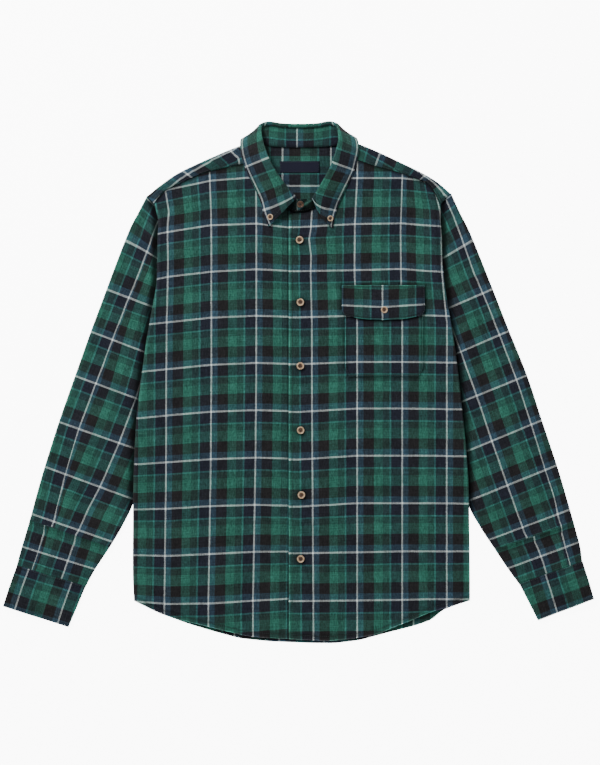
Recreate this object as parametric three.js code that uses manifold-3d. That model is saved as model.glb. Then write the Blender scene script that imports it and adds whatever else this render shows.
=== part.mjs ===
// A plaid flannel shirt laid flat on its back, buttoned up, sleeves out to the sides.
// Millimetres. The shirt lies on z = 0 with its front up. +Y runs towards the collar, and +X towards
// the wearer's left sleeve, which is the right-hand one seen from above. Every cloth piece is a wall
// of even thickness, made from rows of points on its outer face and the same points moved inwards.

import * as THREE from 'three';
import { mergeVertices } from 'three/addons/utils/BufferGeometryUtils.js';
import Module from 'manifold-3d';

const wasm = await Module();
wasm.setup();

// Driving dimensions

const CLOTH = 1.2; // one layer of brushed flannel with its seams
const DOUBLE = 1.5; // collar, stand and cuffs are doubled and pressed
const SEAM = 0.3; // gap between pieces that are sewn or lie on each other
const FRONT_TOP = 4.8; // top of the fronts above the table, in the middle of the body
const LAP_TOP = 3.3; // top of the lower front where the upper one laps over it
const YOKE_TOP = 5.6; // top of the yoke along the shoulder fold
const SLEEVE_TOP = 5.6; // top of a sleeve where it lies free
const TUCKED_TOP = 3.0; // top of a sleeve where the body lies on it
const BODY_LIFT = TUCKED_TOP + 0.5; // how far a tucked sleeve lifts the back
const UNDERARM_Y = 98; // the armhole ends here and the side seam begins
const TUCK_BEGINS_Y = 64; // from here down the sleeve's inner part lies under the body
const TUCKED_X = 196; // inside this distance from the middle no sleeve reaches under the body
const BACK_SEAM_Y = 276; // the yoke's back seam
const FOLD_RADIUS = 5; // how far in from the edge a folded side curls
const CUFF_TOP = 5.8;
const CUFF_RISE = 2.8; // the button under a cuff and its gap
const CUFF_LAP = 24; // how far the ends of a cuff lap on the table side
const CUFF_BUTTON_SHARE = 0.13; // where the button lies, as a share of the cuff's width
const BUTTON = { body: 11.4, collar: 9, flap: 10.4, stand: 10.4, cuff: 10, thickness: 2.4 };

// The two sides of the body as rows down the shirt: x of the edge on each side.
const SIDE = {
  columns: ['y', 'right', 'left'], // wearer's right and left
  rows: [
    [276, -224, 221],
    [252, -217.3, 219.8],
    [222, -218.5, 222.4],
    [190, -219.2, 223],
    [155, -219.6, 226.3],
    [125, -224.8, 230.6],
    [98, -229.6, 235.2],
    [55, -237, 242.2],
    [5, -243.6, 248.3],
    [-45, -250, 253.6],
    [-95, -253.4, 259],
    [-145, -255.3, 262.7],
    [-188, -256, 264],
    [-225, -256.6, 264.7],
    [-265, -257, 265.4],
    [-305, -256.8, 265.7],
    [-336, -255, 265.8],
  ],
};

// Seam between yoke and front, and the shoulder fold beside it, from the armhole to the neck.
const SHOULDER = {
  columns: ['foldX', 'foldY', 'seamX', 'seamY'],
  right: [
    [-234.8, 287.5, -224, 276],
    [-214.7, 303.8, -206.9, 296],
    [-188, 322.5, -182, 307.5],
    [-158, 337.3, -151, 321.8],
    [-121.7, 353.4, -114, 331.5],
    [-93, 365.2, -88, 337.2],
    [-77, 371.5, -71, 342],
  ],
  left: [
    [235.6, 291.8, 221, 276],
    [214.8, 309.6, 202, 305.5],
    [190, 324.6, 182, 315],
    [158, 340, 151, 325.3],
    [126.3, 355, 118.6, 334],
    [97, 367.4, 92, 343],
    [81, 373, 75, 345],
  ],
};

// Front neckline, from the shoulder seam to the front edge. The collar stand sits on it.
const NECKLINE = {
  columns: ['x', 'y'],
  right: [[-71, 342], [-62.5, 321], [-52.5, 302.5], [-38.5, 285], [-21.5, 271], [-6, 262.5], [19, 261]],
  left: [[75, 345], [66.5, 321], [56.5, 303], [44.5, 286.5], [31, 273], [17.5, 265], [-15, 261]],
};

// Hems, from side to side: the back is a little longer than the fronts.
const HEM = {
  columns: ['x', 'y'],
  front: [
    [-256, -338], [-214, -358.5], [-184, -368], [-150, -376], [-110, -386], [-75, -394], [-28, -397],
    [20, -399.5], [52, -400.5], [90, -396], [125, -389.5], [150, -378.5], [180, -366.5], [206, -355.5],
    [230, -348.5], [266, -338],
  ],
  back: [
    [-256, -338.5], [-214, -359], [-168, -375.5], [-130, -386.8], [-91, -397.2], [-44, -402], [20, -404.6],
    [57, -404.8], [95, -400], [139, -388], [181, -377.4], [208, -368], [222, -353.5], [243, -346],
    [266, -338.5],
  ],
};

// Sleeves: one row for each section down the tube, with its outer and inner fold.
const SLEEVE = {
  columns: ['outerX', 'outerY', 'innerX', 'innerY'],
  right: [
    [-234.4, 288.6, -206, 268],
    [-247.5, 263.5, -204, 228],
    [-261.2, 237.2, -203, 190],
    [-281, 187.5, -202, 148],
    [-303.5, 127.1, -202, 95],
    [-322.1, 77.5, -208, 38],
    [-346.1, 9.6, -218, -36],
    [-371.1, -61.5, -233, -110],
    [-392.5, -129.1, -253, -180],
    [-405, -172, -270, -218],
    [-415.5, -211, -290, -252.5],
    [-428.6, -255.8, -314.8, -290.3],
    [-436.6, -286.6, -330.6, -319.4],
  ],
  left: [
    [236.4, 292.2, 206, 270],
    [249, 264.5, 205, 228],
    [265.8, 231, 205, 190],
    [287, 179, 209, 141],
    [307.5, 127.1, 218, 86],
    [326.3, 79.1, 227, 32],
    [353.9, 10.5, 235.5, -43],
    [377, -58.9, 247, -115],
    [400.1, -128.2, 261.7, -186],
    [413, -171, 280.5, -223.5],
    [425.5, -215, 302.5, -257],
    [435.6, -252.7, 322.5, -287],
    [439.2, -280.4, 343, -315],
  ],
};

// The crosswise tuck above each cuff: where along the sleeve (in rows of the table) and how high.
const TUCK = { row: 10.05, halfWidth: 0.42, height: 2.6 };

// Cuffs: the two corners at the seam and the two at the open end.
const CUFF = {
  columns: ['outerX', 'outerY', 'innerX', 'innerY'],
  right: [
    [-436.8, -287, -330.8, -319.9],
    [-447.5, -316.5, -343.5, -350.2],
    [-457.2, -346.6, -356, -379.5],
  ],
  left: [
    [440.6, -280.9, 343.2, -315.5],
    [449.4, -308.6, 356.8, -342],
    [457.2, -335.4, 370.4, -369.2],
  ],
};

// The collar from its right front end round the back of the neck to its left front end. The foot is
// where the stand is sewn to the neckline, the roll is the centre of the fold between stand and leaf,
// and the edge is the free edge of the leaf, on its outer face.
const COLLAR = {
  columns: ['footX', 'footY', 'footZ', 'rollX', 'rollY', 'rollZ', 'edgeX', 'edgeY', 'edgeZ'],
  rows: [
    [-6, 264, 6, -3.5, 283, 13, -44.2, 240.3, 7],
    [-22.5, 272.6, 6, -14, 294, 15.5, -51.8, 256, 7],
    [-40, 286.6, 6, -25, 306.5, 17.5, -59, 279, 7],
    [-54, 304, 6, -35.3, 321, 18.5, -68, 299, 7],
    [-64, 322, 6, -45.4, 338.5, 19, -78, 320.5, 7],
    [-71.5, 340, 6.6, -52.8, 356.5, 18.5, -86, 341, 7.6],
    [-76, 356, 7, -57.6, 373.5, 17, -90, 360, 8],
    [-78, 370, 6.2, -59.6, 388, 13, -89, 376, 6.4],
    [-68.5, 372, 4.2, -58, 397, 7.6, -76.5, 376, 1.4],
    [-52, 366, 3.1, -46, 400.7, 3.9, -53, 369, 0.2],
    [-26, 363.6, 2.8, -25, 398, 3, -26, 366, 0.1],
    [2, 363, 2.7, 2, 397.2, 2.9, 2, 365.5, 0.05],
    [30, 363.6, 2.8, 29, 398.2, 3, 30, 366, 0.1],
    [58, 366, 3.1, 48, 401.3, 3.9, 57, 369, 0.2],
    [73.5, 373, 4.2, 59.5, 397.5, 7.6, 79, 377.5, 1.4],
    [82, 371, 6.2, 62.6, 388, 13, 90, 377.8, 6.4],
    [80, 356, 7, 63.4, 373, 17, 93.8, 362, 8],
    [76, 340, 6.6, 59.3, 354.5, 18.5, 91.2, 345, 7.6],
    [68.5, 322, 6, 53.3, 336, 19, 85.4, 324, 7],
    [58.5, 304.5, 6, 45.2, 319, 18.5, 76.5, 304.5, 7],
    [46.5, 288, 6.2, 35.8, 302.8, 17.5, 66.5, 284, 7.2],
    [32.6, 275, 6.2, 27, 289, 15.5, 58, 262.5, 7.2],
    [19, 267.4, 6.2, 21, 280.5, 13, 50.4, 237.2, 7.2],
  ],
};
const STAND_ENDS = {
  // How the buttoned ends of the stand run past the leaf: the lower one and the upper one over it.
  lower: [[14, 267.5, 4.4, 12.5, 283, 7.6]],
  upper: [[5, 264, 6.2, 6.5, 280.6, 11.6], [-9, 263.4, 6.2, -7, 279.6, 11]],
};
const COLLAR_STEP = 0.5; // stations per row of the collar table
const LEAF_LIP = 4; // how far the leaf reaches down the inner side of the stand
const ROLL = DOUBLE + 0.55 + DOUBLE / 2; // outer radius of the fold round the stand's top edge

const POCKET = { left: 72.1, right: 193, top: 139.5, bottom: 8.5, cutX: 7.5, cutY: 14 };
const FLAP = { left: 67.1, right: 195.1, top: 149.6, side: 103.5, middle: 95.6 };
const LABEL = { left: -28.7, right: 32.6, top: 341.8, bottom: 324, thickness: 0.6 };

// Small helpers

const clamp = (value, low, high) => Math.min(high, Math.max(low, value));
const smooth = (low, high, value) => {
  const t = clamp((value - low) / (high - low), 0, 1);
  return t * t * (3 - 2 * t);
};
const mix = (a, b, t) => a + (b - a) * t;

// Straight interpolation in a table: the value of one column where another has a given value.
function lookUp(rows, key, column, value) {
  const rising = rows[rows.length - 1][key] > rows[0][key];
  const ordered = rising ? rows : [...rows].reverse();
  let index = 0;
  while (index < ordered.length - 2 && value > ordered[index + 1][key]) index += 1;
  const [low, high] = [ordered[index], ordered[index + 1]];
  const t = clamp((value - low[key]) / (high[key] - low[key]), 0, 1);
  return mix(low[column], high[column], t);
}

// Smooth interpolation between rows of a table: row may lie between two whole numbers.
function between(rows, row) {
  const last = rows.length - 1;
  const base = clamp(Math.floor(row), 0, last - 1);
  const t = row - base;
  const [a, b, c, d] = [base - 1, base, base + 1, base + 2].map((i) => rows[clamp(i, 0, last)]);
  return b.map((value, k) => {
    const startSlope = (c[k] - a[k]) / 2;
    const endSlope = (d[k] - value) / 2;
    const square = t * t;
    const cube = square * t;
    return value * (2 * cube - 3 * square + 1) + c[k] * (3 * square - 2 * cube)
      + startSlope * (cube - 2 * square + t) + endSlope * (cube - square);
  });
}

// Side of the body at a height y, and how far inside that edge a point lies.
const sideX = (side, y) => lookUp(SIDE.rows, 0, side === 'right' ? 1 : 2, y);
const outward = (side) => (side === 'right' ? -1 : 1);
const inside = (side, x, y) => (sideX(side, y) - x) * outward(side);

// Geometry from points

function geometryFrom(vertices, faces) {
  const geometry = new THREE.BufferGeometry();
  geometry.setAttribute('position', new THREE.Float32BufferAttribute(vertices.flat(), 3));
  geometry.setIndex(faces.flat());
  return geometry;
}

// Outward normals of a grid of points, for rows that may close on themselves.
function gridNormals(grid, closed) {
  const [rows, columns] = [grid.length, grid[0].length];
  return grid.map((line, i) => line.map((point, j) => {
    const ahead = grid[Math.min(i + 1, rows - 1)][j];
    const behind = grid[Math.max(i - 1, 0)][j];
    const next = line[closed ? (j + 1) % columns : Math.min(j + 1, columns - 1)];
    const previous = line[closed ? (j + columns - 1) % columns : Math.max(j - 1, 0)];
    const along = new THREE.Vector3(...ahead).sub(new THREE.Vector3(...behind));
    const across = new THREE.Vector3(...next).sub(new THREE.Vector3(...previous));
    return across.cross(along).normalize();
  }));
}

// A wall of even thickness under a grid of points on its outer face. The rows run away from the
// viewer and the columns to the right, or the other way round with flip.
function wall(grid, thickness, { closed = false, flip = false } = {}) {
  const sign = flip ? 1 : -1;
  const normals = gridNormals(grid, closed);
  const [rows, columns] = [grid.length, grid[0].length];
  const outer = grid.flat();
  const inner = grid.flatMap((line, i) => line.map((point, j) => (
    new THREE.Vector3(...point).addScaledVector(normals[i][j], sign * thickness).toArray()
  )));
  const faces = [];
  const at = (i, j) => i * columns + (j % columns);
  const count = rows * columns;
  const quad = (a, b, c, d) => {
    if (flip) faces.push([a, c, b], [a, d, c]);
    else faces.push([a, b, c], [a, c, d]);
  };
  const lastColumn = closed ? columns : columns - 1;
  for (let i = 0; i < rows - 1; i += 1) {
    for (let j = 0; j < lastColumn; j += 1) {
      quad(at(i, j), at(i, j + 1), at(i + 1, j + 1), at(i + 1, j));
      quad(count + at(i, j), count + at(i + 1, j), count + at(i + 1, j + 1), count + at(i, j + 1));
    }
  }
  for (let j = 0; j < lastColumn; j += 1) {
    quad(at(0, j), count + at(0, j), count + at(0, j + 1), at(0, j + 1));
    quad(at(rows - 1, j), at(rows - 1, j + 1), count + at(rows - 1, j + 1), count + at(rows - 1, j));
  }
  if (!closed) {
    for (let i = 0; i < rows - 1; i += 1) {
      quad(at(i, 0), at(i + 1, 0), count + at(i + 1, 0), count + at(i, 0));
      const [here, next] = [at(i, columns - 1), at(i + 1, columns - 1)];
      quad(here, count + here, count + next, next);
    }
  }
  return geometryFrom([...outer, ...inner], faces);
}

// Height of a gridded surface over a point of the table.
function heightOn(grid, x, y) {
  for (let i = 0; i < grid.length - 1; i += 1) {
    for (let j = 0; j < grid[0].length - 1; j += 1) {
      const [a, b, c, d] = [grid[i][j], grid[i][j + 1], grid[i + 1][j + 1], grid[i + 1][j]];
      for (const [p, q, r] of [[a, b, c], [a, c, d]]) {
        const area = (q[0] - p[0]) * (r[1] - p[1]) - (r[0] - p[0]) * (q[1] - p[1]);
        if (Math.abs(area) < 1e-6) continue;
        const v = ((x - p[0]) * (r[1] - p[1]) - (r[0] - p[0]) * (y - p[1])) / area;
        const w = ((q[0] - p[0]) * (y - p[1]) - (x - p[0]) * (q[1] - p[1])) / area;
        const within = v >= -1e-6 && w >= -1e-6 && v + w <= 1 + 1e-6;
        if (within) return p[2] + v * (q[2] - p[2]) + w * (r[2] - p[2]);
      }
    }
  }
  return FRONT_TOP;
}

// Cuts and joins

function solid(geometry) {
  const bare = geometry.clone();
  bare.deleteAttribute('normal');
  bare.deleteAttribute('uv');
  const merged = mergeVertices(bare, 1e-5);
  return new wasm.Manifold(new wasm.Mesh({
    numProp: 3,
    vertProperties: new Float32Array(merged.attributes.position.array),
    triVerts: new Uint32Array(merged.index.array),
  }));
}

function geometryOf(manifold) {
  const mesh = manifold.getMesh();
  const geometry = new THREE.BufferGeometry();
  geometry.setAttribute('position', new THREE.Float32BufferAttribute(mesh.vertProperties, 3));
  geometry.setIndex(Array.from(mesh.triVerts));
  return geometry;
}

// An upright prism over an outline, used to trim a piece to a seam.
function prism(outline, low, high) {
  const shape = new THREE.Shape(outline.map(([x, y]) => new THREE.Vector2(x, y)));
  const geometry = new THREE.ExtrudeGeometry(shape, { depth: high - low, bevelEnabled: false });
  return solid(geometry.translate(0, 0, low));
}

// Body: back, fronts and yoke

// How far the back is lifted by the sleeve tucked under its side.
function lift(side, x, y) {
  const rows = SLEEVE[side];
  const innerEdge = lookUp(rows.slice(4, 9), 3, 2, y);
  const reach = Math.max(inside(side, innerEdge, y), 0);
  const depth = inside(side, x, y);
  const along = smooth(UNDERARM_Y + 34, UNDERARM_Y + 6, y) * smooth(-232, -192, y);
  return BODY_LIFT * along * smooth(reach + 25, reach + 7, depth);
}

const liftAt = (x, y) => lift(x < 0 ? 'right' : 'left', x, y);

function backPiece() {
  const inset = [0, 9, 20, 34, 48, 64, 115, 180];
  const grid = [];
  const line = (y, drop) => {
    const [right, left] = [sideX('right', y), sideX('left', y)];
    const xs = [...inset.map((d) => right + d), 0, ...[...inset].reverse().map((d) => left - d)];
    return xs.map((x) => {
      const low = drop * (lookUp(HEM.back, 0, 1, x) + 338.5);
      return [x, y + low, liftAt(x, y + low) + CLOTH];
    });
  };
  SIDE.rows.forEach(([y], i) => grid.push(line(i ? y : y - SEAM, clamp((i - 13) / 6, 0, 1) ** 2)));
  grid.push(line(-338.5, 1));
  return wall([...grid].reverse(), CLOTH);
}

// Soft folds that stand up from the fronts: a long one by the left armhole and lesser ones.
const SWELLS = {
  columns: ['x', 'y', 'length', 'width', 'height', 'turn'],
  rows: [
    [207, 205, 74, 13, 1.6, 0],
    [-196, 172, 60, 15, 1.1, 8],
    [-120, -330, 60, 26, 1.0, 12],
    [232, -290, 70, 16, 1.3, -6],
    [-226, -300, 60, 15, 1.1, 5],
  ],
};

function swell(x, y) {
  let height = 0;
  for (const [cx, cy, length, width, top, turn] of SWELLS.rows) {
    const angle = THREE.MathUtils.degToRad(turn);
    const along = ((y - cy) * Math.cos(angle) + (x - cx) * Math.sin(angle)) / length;
    const across = ((x - cx) * Math.cos(angle) - (y - cy) * Math.sin(angle)) / width;
    height += top * Math.exp(-along * along - across * across);
  }
  return height;
}

// One front, as rows from the yoke seam down to the hem. Columns run from the side to the front edge.
function frontGrid(side) {
  const out = outward(side);
  const seam = [...SHOULDER[side].slice(0, 6).map((row) => [row[2], row[3]]), ...NECKLINE[side]];
  const curl = [0, 0, 0.22, 0.55, 1].map((part) => part * FOLD_RADIUS);
  const edgeX = seam[seam.length - 1][0];
  const rowCount = SIDE.rows.length;
  const grid = [];
  for (let i = 0; i <= rowCount; i += 1) {
    const lastRow = i === rowCount;
    const sideY = lastRow ? -338 : SIDE.rows[i][0];
    const rise = [1, 0.66, 0.36, 0.15, 0.04][i] ?? 0;
    const drop = lastRow ? 1 : clamp((i - 13) / 6, 0, 1) ** 2;
    const side0 = sideX(side, sideY);
    const share = (x) => (x - seam[0][0]) / (edgeX - seam[0][0]);
    const place = (x, topX) => {
      const low = drop * (lookUp(HEM.front, 0, 1, x) + 338);
      return [x, sideY + rise * (lookUp(seam, 0, 1, topX) - seam[0][1]) + low];
    };
    const line = curl.map((depth) => place(side0 - out * depth, seam[0][0] - out * depth));
    for (const [x] of seam.slice(1)) line.push(place(mix(side0, edgeX, share(x)), x));
    grid.push(line.map(([x, y], j) => {
      const under = liftAt(x, y) + CLOTH + SEAM;
      if (j === 0) return [x, y, under];
      const lap = side === 'right' ? smooth(-44, -19, x) * (FRONT_TOP - LAP_TOP) : 0;
      const top = FRONT_TOP + 0.7 * liftAt(x, y) + swell(x, y) - lap;
      const climb = [0, 0.42, 0.75, 0.93, 1][j] ?? 1;
      return [x, y, mix(under, top, climb)];
    }));
  }
  return grid;
}

const FRONT_GRIDS = { right: frontGrid('right'), left: frontGrid('left') };
const topOfFront = (x, y) => heightOn(FRONT_GRIDS[x < -14.9 ? 'right' : 'left'], x, y);

// The yoke: one wrap over each shoulder, from the back seam round the fold to the front seam, and
// the flat stretch between them up to the back neckline.
function yokeWrap(side) {
  const steps = 4;
  const grid = SHOULDER[side].map(([foldX, foldY, seamX, seamY]) => {
    const back = new THREE.Vector2(seamX, BACK_SEAM_Y + SEAM);
    const fold = new THREE.Vector2(foldX, foldY);
    const front = new THREE.Vector2(seamX, seamY);
    const up = fold.clone().sub(front).normalize();
    const out = fold.clone().sub(back);
    if (out.length() < 14) out.copy(up);
    out.normalize();
    const reach = FOLD_RADIUS * 0.8;
    const turn = fold.clone().addScaledVector(out, -reach);
    const section = [[back.x, back.y, 0]];
    section.push([mix(back.x, turn.x, 0.55), mix(back.y, turn.y, 0.55), 0]);
    for (let k = 0; k <= steps; k += 1) {
      const angle = Math.PI * (k / steps) - Math.PI / 2;
      const away = reach * Math.cos(angle);
      const direction = k * 2 < steps ? out : up;
      const centre = fold.clone().addScaledVector(direction, -reach);
      const spot = centre.addScaledVector(direction, away);
      section.push([spot.x, spot.y, (YOKE_TOP / 2) * (1 + Math.sin(angle))]);
    }
    const edge = front.clone().addScaledVector(up, SEAM);
    section.push([mix(fold.x, edge.x, 0.6), mix(fold.y, edge.y, 0.6), mix(YOKE_TOP, FRONT_TOP, 0.4)]);
    section.push([edge.x, edge.y, topOfFront(edge.x, edge.y)]);
    return section;
  });
  return solid(wall(grid, CLOTH, { flip: side === 'left' }));
}

function yokeMiddle() {
  const neck = [[-78, 365], [-52, 363.4], [0, 362.6], [54, 363.4], [82, 365.4]];
  const line = (part) => neck.map(([x, y]) => [x, mix(BACK_SEAM_Y + SEAM, y, part), CLOTH]);
  return solid(wall([line(0), line(0.5), line(1)], CLOTH));
}

function yokePiece() {
  const joined = yokeWrap('right').add(yokeWrap('left')).add(yokeMiddle());
  return geometryOf(joined);
}

// Sleeves

// A cuff rests on the button under its outer side, and the end of the sleeve rises with it.
const raised = (share) => CUFF_RISE * smooth(0.72, 0.34, share);

// Height of the top of a sleeve: thin under the body, fuller where it lies free.
function sleeveTop(side, x, y) {
  const free = -inside(side, x, y);
  const atEdge = mix(TUCKED_TOP, FRONT_TOP - 0.4, smooth(UNDERARM_Y - 6, UNDERARM_Y + 40, y));
  return mix(atEdge, SLEEVE_TOP, smooth(2, 22, free));
}

// A flattened tube section between two folds, as a ring of points round it.
// One of its points lies where the body's edge crosses it, given as a share of its width.
function flatRing([outerX, outerY, innerX, innerY], topAt, crossing, rise) {
  const width = Math.hypot(innerX - outerX, innerY - outerY);
  const ring = [];
  const place = (across, height) => {
    const part = across / width;
    const [x, y] = [mix(outerX, innerX, part), mix(outerY, innerY, part)];
    ring.push([x, y, height(x, y) + rise * raised(part)]);
  };
  const radius = 3;
  const tops = [0.3, 0.66, 1].map((part) => part * crossing);
  tops.push(mix(crossing, 1, 0.36), mix(crossing, 1, 0.72));
  tops.forEach((part) => place(mix(radius, width - radius, part), topAt));
  [70, 35, 0, -35, -90].forEach((angle) => {
    const [away, high] = [Math.cos, Math.sin].map((f) => f(THREE.MathUtils.degToRad(angle)));
    place(width - radius + radius * away, (x, y) => (topAt(x, y) / 2) * (1 + high));
  });
  [0.66, 0.33].forEach((part) => place(mix(radius, width - radius, part), () => 0));
  [-90, -35, 0, 35, 70].forEach((angle) => {
    const [away, high] = [Math.cos, Math.sin].map((f) => f(THREE.MathUtils.degToRad(angle)));
    place(radius - radius * away, (x, y) => (topAt(x, y) / 2) * (1 + high));
  });
  return ring;
}

// Share of a section's width at which the body's edge crosses it.
function bodyCrossing(side, [outerX, outerY, innerX, innerY]) {
  for (let part = 0.2; part < 0.82; part += 0.01) {
    if (inside(side, mix(outerX, innerX, part), mix(outerY, innerY, part)) > -2) return part;
  }
  return 0.82;
}

function sleevePiece(side) {
  const rows = SLEEVE[side];
  const stations = [];
  for (let row = 0; row < 9; row += 0.5) stations.push(row);
  stations.push(9, 9.4, 9.7, 9.9, 10.05, 10.2, 10.45, 11, 11.5, 12);
  const rings = stations.map((row) => {
    const bump = TUCK.height * smooth(TUCK.halfWidth, 0, Math.abs(row - TUCK.row));
    const section = between(rows, row);
    const top = (x, y) => sleeveTop(side, x, y) + bump;
    return flatRing(section, top, bodyCrossing(side, section), smooth(10.3, 12, row));
  });
  const tube = solid(wall(rings, CLOTH, { closed: true, flip: side === 'right' }));
  const out = outward(side);
  const armhole = SIDE.rows.filter(([y]) => y >= UNDERARM_Y).map(([y]) => [sideX(side, y) + out * SEAM, y]);
  const [foldX, foldY] = SHOULDER[side][0];
  const cut = [...armhole.reverse(), [foldX + out * SEAM, foldY + 0.2], [foldX + out * SEAM, foldY + 9],
    [0, 420], [0, TUCK_BEGINS_Y], [out * TUCKED_X, TUCK_BEGINS_Y]];
  return geometryOf(tube.subtract(prism(cut, -5, 20)));
}

// Cuffs: a band round the wrist whose ends lap on the table side, over the cuff button.
function cuffPiece(side) {
  const rows = CUFF[side];
  const rings = [0, 0.25, 1, 1.75, 2].map((row) => {
    const [outerX, outerY, innerX, innerY] = between(rows, row);
    const width = Math.hypot(innerX - outerX, innerY - outerY);
    const ring = [];
    const place = (across, z) => {
      const part = across / width;
      ring.push([mix(outerX, innerX, part), mix(outerY, innerY, part), z + raised(part)]);
    };
    const radius = CUFF_TOP / 2;
    const under = DOUBLE + SEAM;
    place(2.6, 0);
    place(width * 0.35, 0);
    place(width * 0.7, 0);
    [-90, -45, 0, 45, 90].forEach((angle) => {
      const [away, high] = [Math.cos, Math.sin].map((f) => f(THREE.MathUtils.degToRad(angle)));
      place(width - radius + radius * away, radius * (1 + high));
    });
    place(width * 0.66, CUFF_TOP);
    place(width * 0.33, CUFF_TOP);
    const short = (CUFF_TOP - under) / 2;
    [90, 45, 0, -45, -90].forEach((angle) => {
      const [away, high] = [Math.cos, Math.sin].map((f) => f(THREE.MathUtils.degToRad(angle)));
      place(short - short * away, under + short * (1 + high));
    });
    place(CUFF_LAP, under);
    return ring;
  });
  return wall(rings, DOUBLE, { flip: side === 'left' });
}

// Collar

const vector = (row, first) => new THREE.Vector3(row[first], row[first + 1], row[first + 2]);

// Directions at one station of the collar: up the stand, along the neckline and away from the neck.
function collarFrame(rows, row) {
  const here = between(rows, row);
  const ahead = between(rows, Math.min(row + 0.1, rows.length - 1));
  const behind = between(rows, Math.max(row - 0.1, 0));
  const [foot, roll] = [vector(here, 0), vector(here, 3)];
  const up = roll.clone().sub(foot).normalize();
  const along = vector(ahead, 3).sub(vector(behind, 3));
  along.addScaledVector(up, -along.dot(up)).normalize();
  const away = up.clone().cross(along).normalize();
  return { here, foot, roll, up, away };
}

function leafGrid() {
  const rows = COLLAR.rows;
  const stations = [];
  for (let row = 0; row <= rows.length - 1; row += COLLAR_STEP) stations.push(row);
  return stations.map((row) => {
    const { here, roll, up, away } = collarFrame(rows, row);
    const edge = vector(here, 6);
    const toEdge = edge.clone().sub(roll);
    const [a, b] = [toEdge.dot(up), toEdge.dot(away)];
    const leave = Math.atan2(b, a) - Math.acos(clamp(ROLL / Math.hypot(a, b), -1, 1));
    const onRoll = (angle) => roll.clone()
      .addScaledVector(up, ROLL * Math.cos(angle)).addScaledVector(away, ROLL * Math.sin(angle));
    const start = -Math.PI / 2;
    const section = [onRoll(start).addScaledVector(up, -LEAF_LIP)];
    for (let k = 0; k <= 3; k += 1) section.push(onRoll(mix(start, leave, k / 3)));
    const last = section[section.length - 1];
    [0.5, 1].forEach((part) => section.push(last.clone().lerp(edge, part)));
    return section.map((point) => point.toArray());
  });
}

function standGrid() {
  const rows = [...STAND_ENDS.lower, ...COLLAR.rows.map((row) => row.slice(0, 6)), ...STAND_ENDS.upper];
  const grid = [];
  for (let row = 0; row <= rows.length - 1; row += COLLAR_STEP) {
    const { foot, roll, away } = collarFrame(rows, row);
    const outer = (point) => point.clone().addScaledVector(away, DOUBLE / 2).toArray();
    grid.push([outer(foot), outer(foot.clone().lerp(roll, 0.5)), outer(roll)]);
  }
  return grid;
}

const LEAF_GRID = leafGrid();
const STAND_GRID = standGrid();

// The stand is trimmed to keep its gap to the leaf that folds over it.
function standPiece() {
  const longer = LEAF_GRID.map((line) => line.map((point) => [...point]));
  const past = (end, next) => end.map((point, j) => (
    new THREE.Vector3(...point).sub(new THREE.Vector3(...next[j])).setLength(SEAM)
      .add(new THREE.Vector3(...point)).toArray()
  ));
  const last = longer.length - 1;
  longer[0] = past(longer[0], longer[1]);
  longer[last] = past(longer[last], longer[last - 1]);
  const leafWithGap = solid(wall(longer, DOUBLE + 1.3 * SEAM, { flip: true }));
  return geometryOf(solid(wall(STAND_GRID, DOUBLE)).subtract(leafWithGap));
}

// What lies on the left front

function laidOn(outline, baseAt, thickness) {
  const top = outline.map((line) => line.map(([x, y]) => [x, y, baseAt(x, y) + SEAM + thickness]));
  return wall(top, thickness);
}

function pocketGrid() {
  const { left, right, top, bottom, cutX, cutY } = POCKET;
  const across = [0, cutX, 34, 60, 87, right - left - cutX, right - left];
  return [0, cutY, 55 - bottom, 98 - bottom, 125 - bottom, top - bottom].map((up) => across.map((over) => {
    const corner = up === 0 && (over === 0 || over === right - left);
    return [left + over, bottom + (corner ? cutY * 0.55 : up)];
  }));
}

function flapGrid() {
  const { left, right, top, side, middle } = FLAP;
  const width = right - left;
  const across = [0, 3, 8, 24, 44, 64, 84, 104, 120, 125, 128].map((over) => (over / 128) * width);
  const lowest = (over) => {
    const part = Math.abs(over / width - 0.5) * 2;
    const corner = smooth(0.92, 1.04, part) * 9;
    return mix(middle, side, part) + corner - 2.2 * Math.sin(part * Math.PI) ** 2;
  };
  return [0, 0.35, 0.7, 1].map((up) => across.map((over) => [left + over, mix(lowest(over), top, up)]));
}

// Buttons: a turned disc with a sunk middle and four holes.
function buttonGeometry(diameter) {
  const [radius, high] = [diameter / 2, BUTTON.thickness];
  const profile = [[0, 0], [radius * 0.72, 0], [radius, high * 0.45], [radius * 0.92, high],
    [radius * 0.66, high], [radius * 0.56, high * 0.62], [0, high * 0.62]];
  const disc = new THREE.LatheGeometry(profile.map(([x, y]) => new THREE.Vector2(x, y)), 14);
  disc.rotateX(Math.PI / 2);
  let body = solid(disc);
  for (let k = 0; k < 4; k += 1) {
    const angle = (Math.PI / 4) * (2 * k + 1);
    const hole = new THREE.CylinderGeometry(0.75, 0.75, 8, 5).rotateX(Math.PI / 2);
    hole.translate(radius * 0.26 * Math.cos(angle), radius * 0.26 * Math.sin(angle), 0);
    body = body.subtract(solid(hole));
  }
  return geometryOf(body);
}

// Materials

const material = (color, roughness) => new THREE.MeshStandardMaterial({ color, roughness, metalness: 0 });
const flannel = material(0x2c5450, 0.95);
const flannelDouble = material(0x29514d, 0.95);
const horn = material(0x8a6a50, 0.45);
const navyTape = material(0x20243c, 0.8);

const shirt = new THREE.Group();
shirt.name = 'flannel_shirt';

function add(name, geometry, finish) {
  const mesh = new THREE.Mesh(geometry, finish);
  mesh.name = name;
  shirt.add(mesh);
  return mesh;
}

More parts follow.
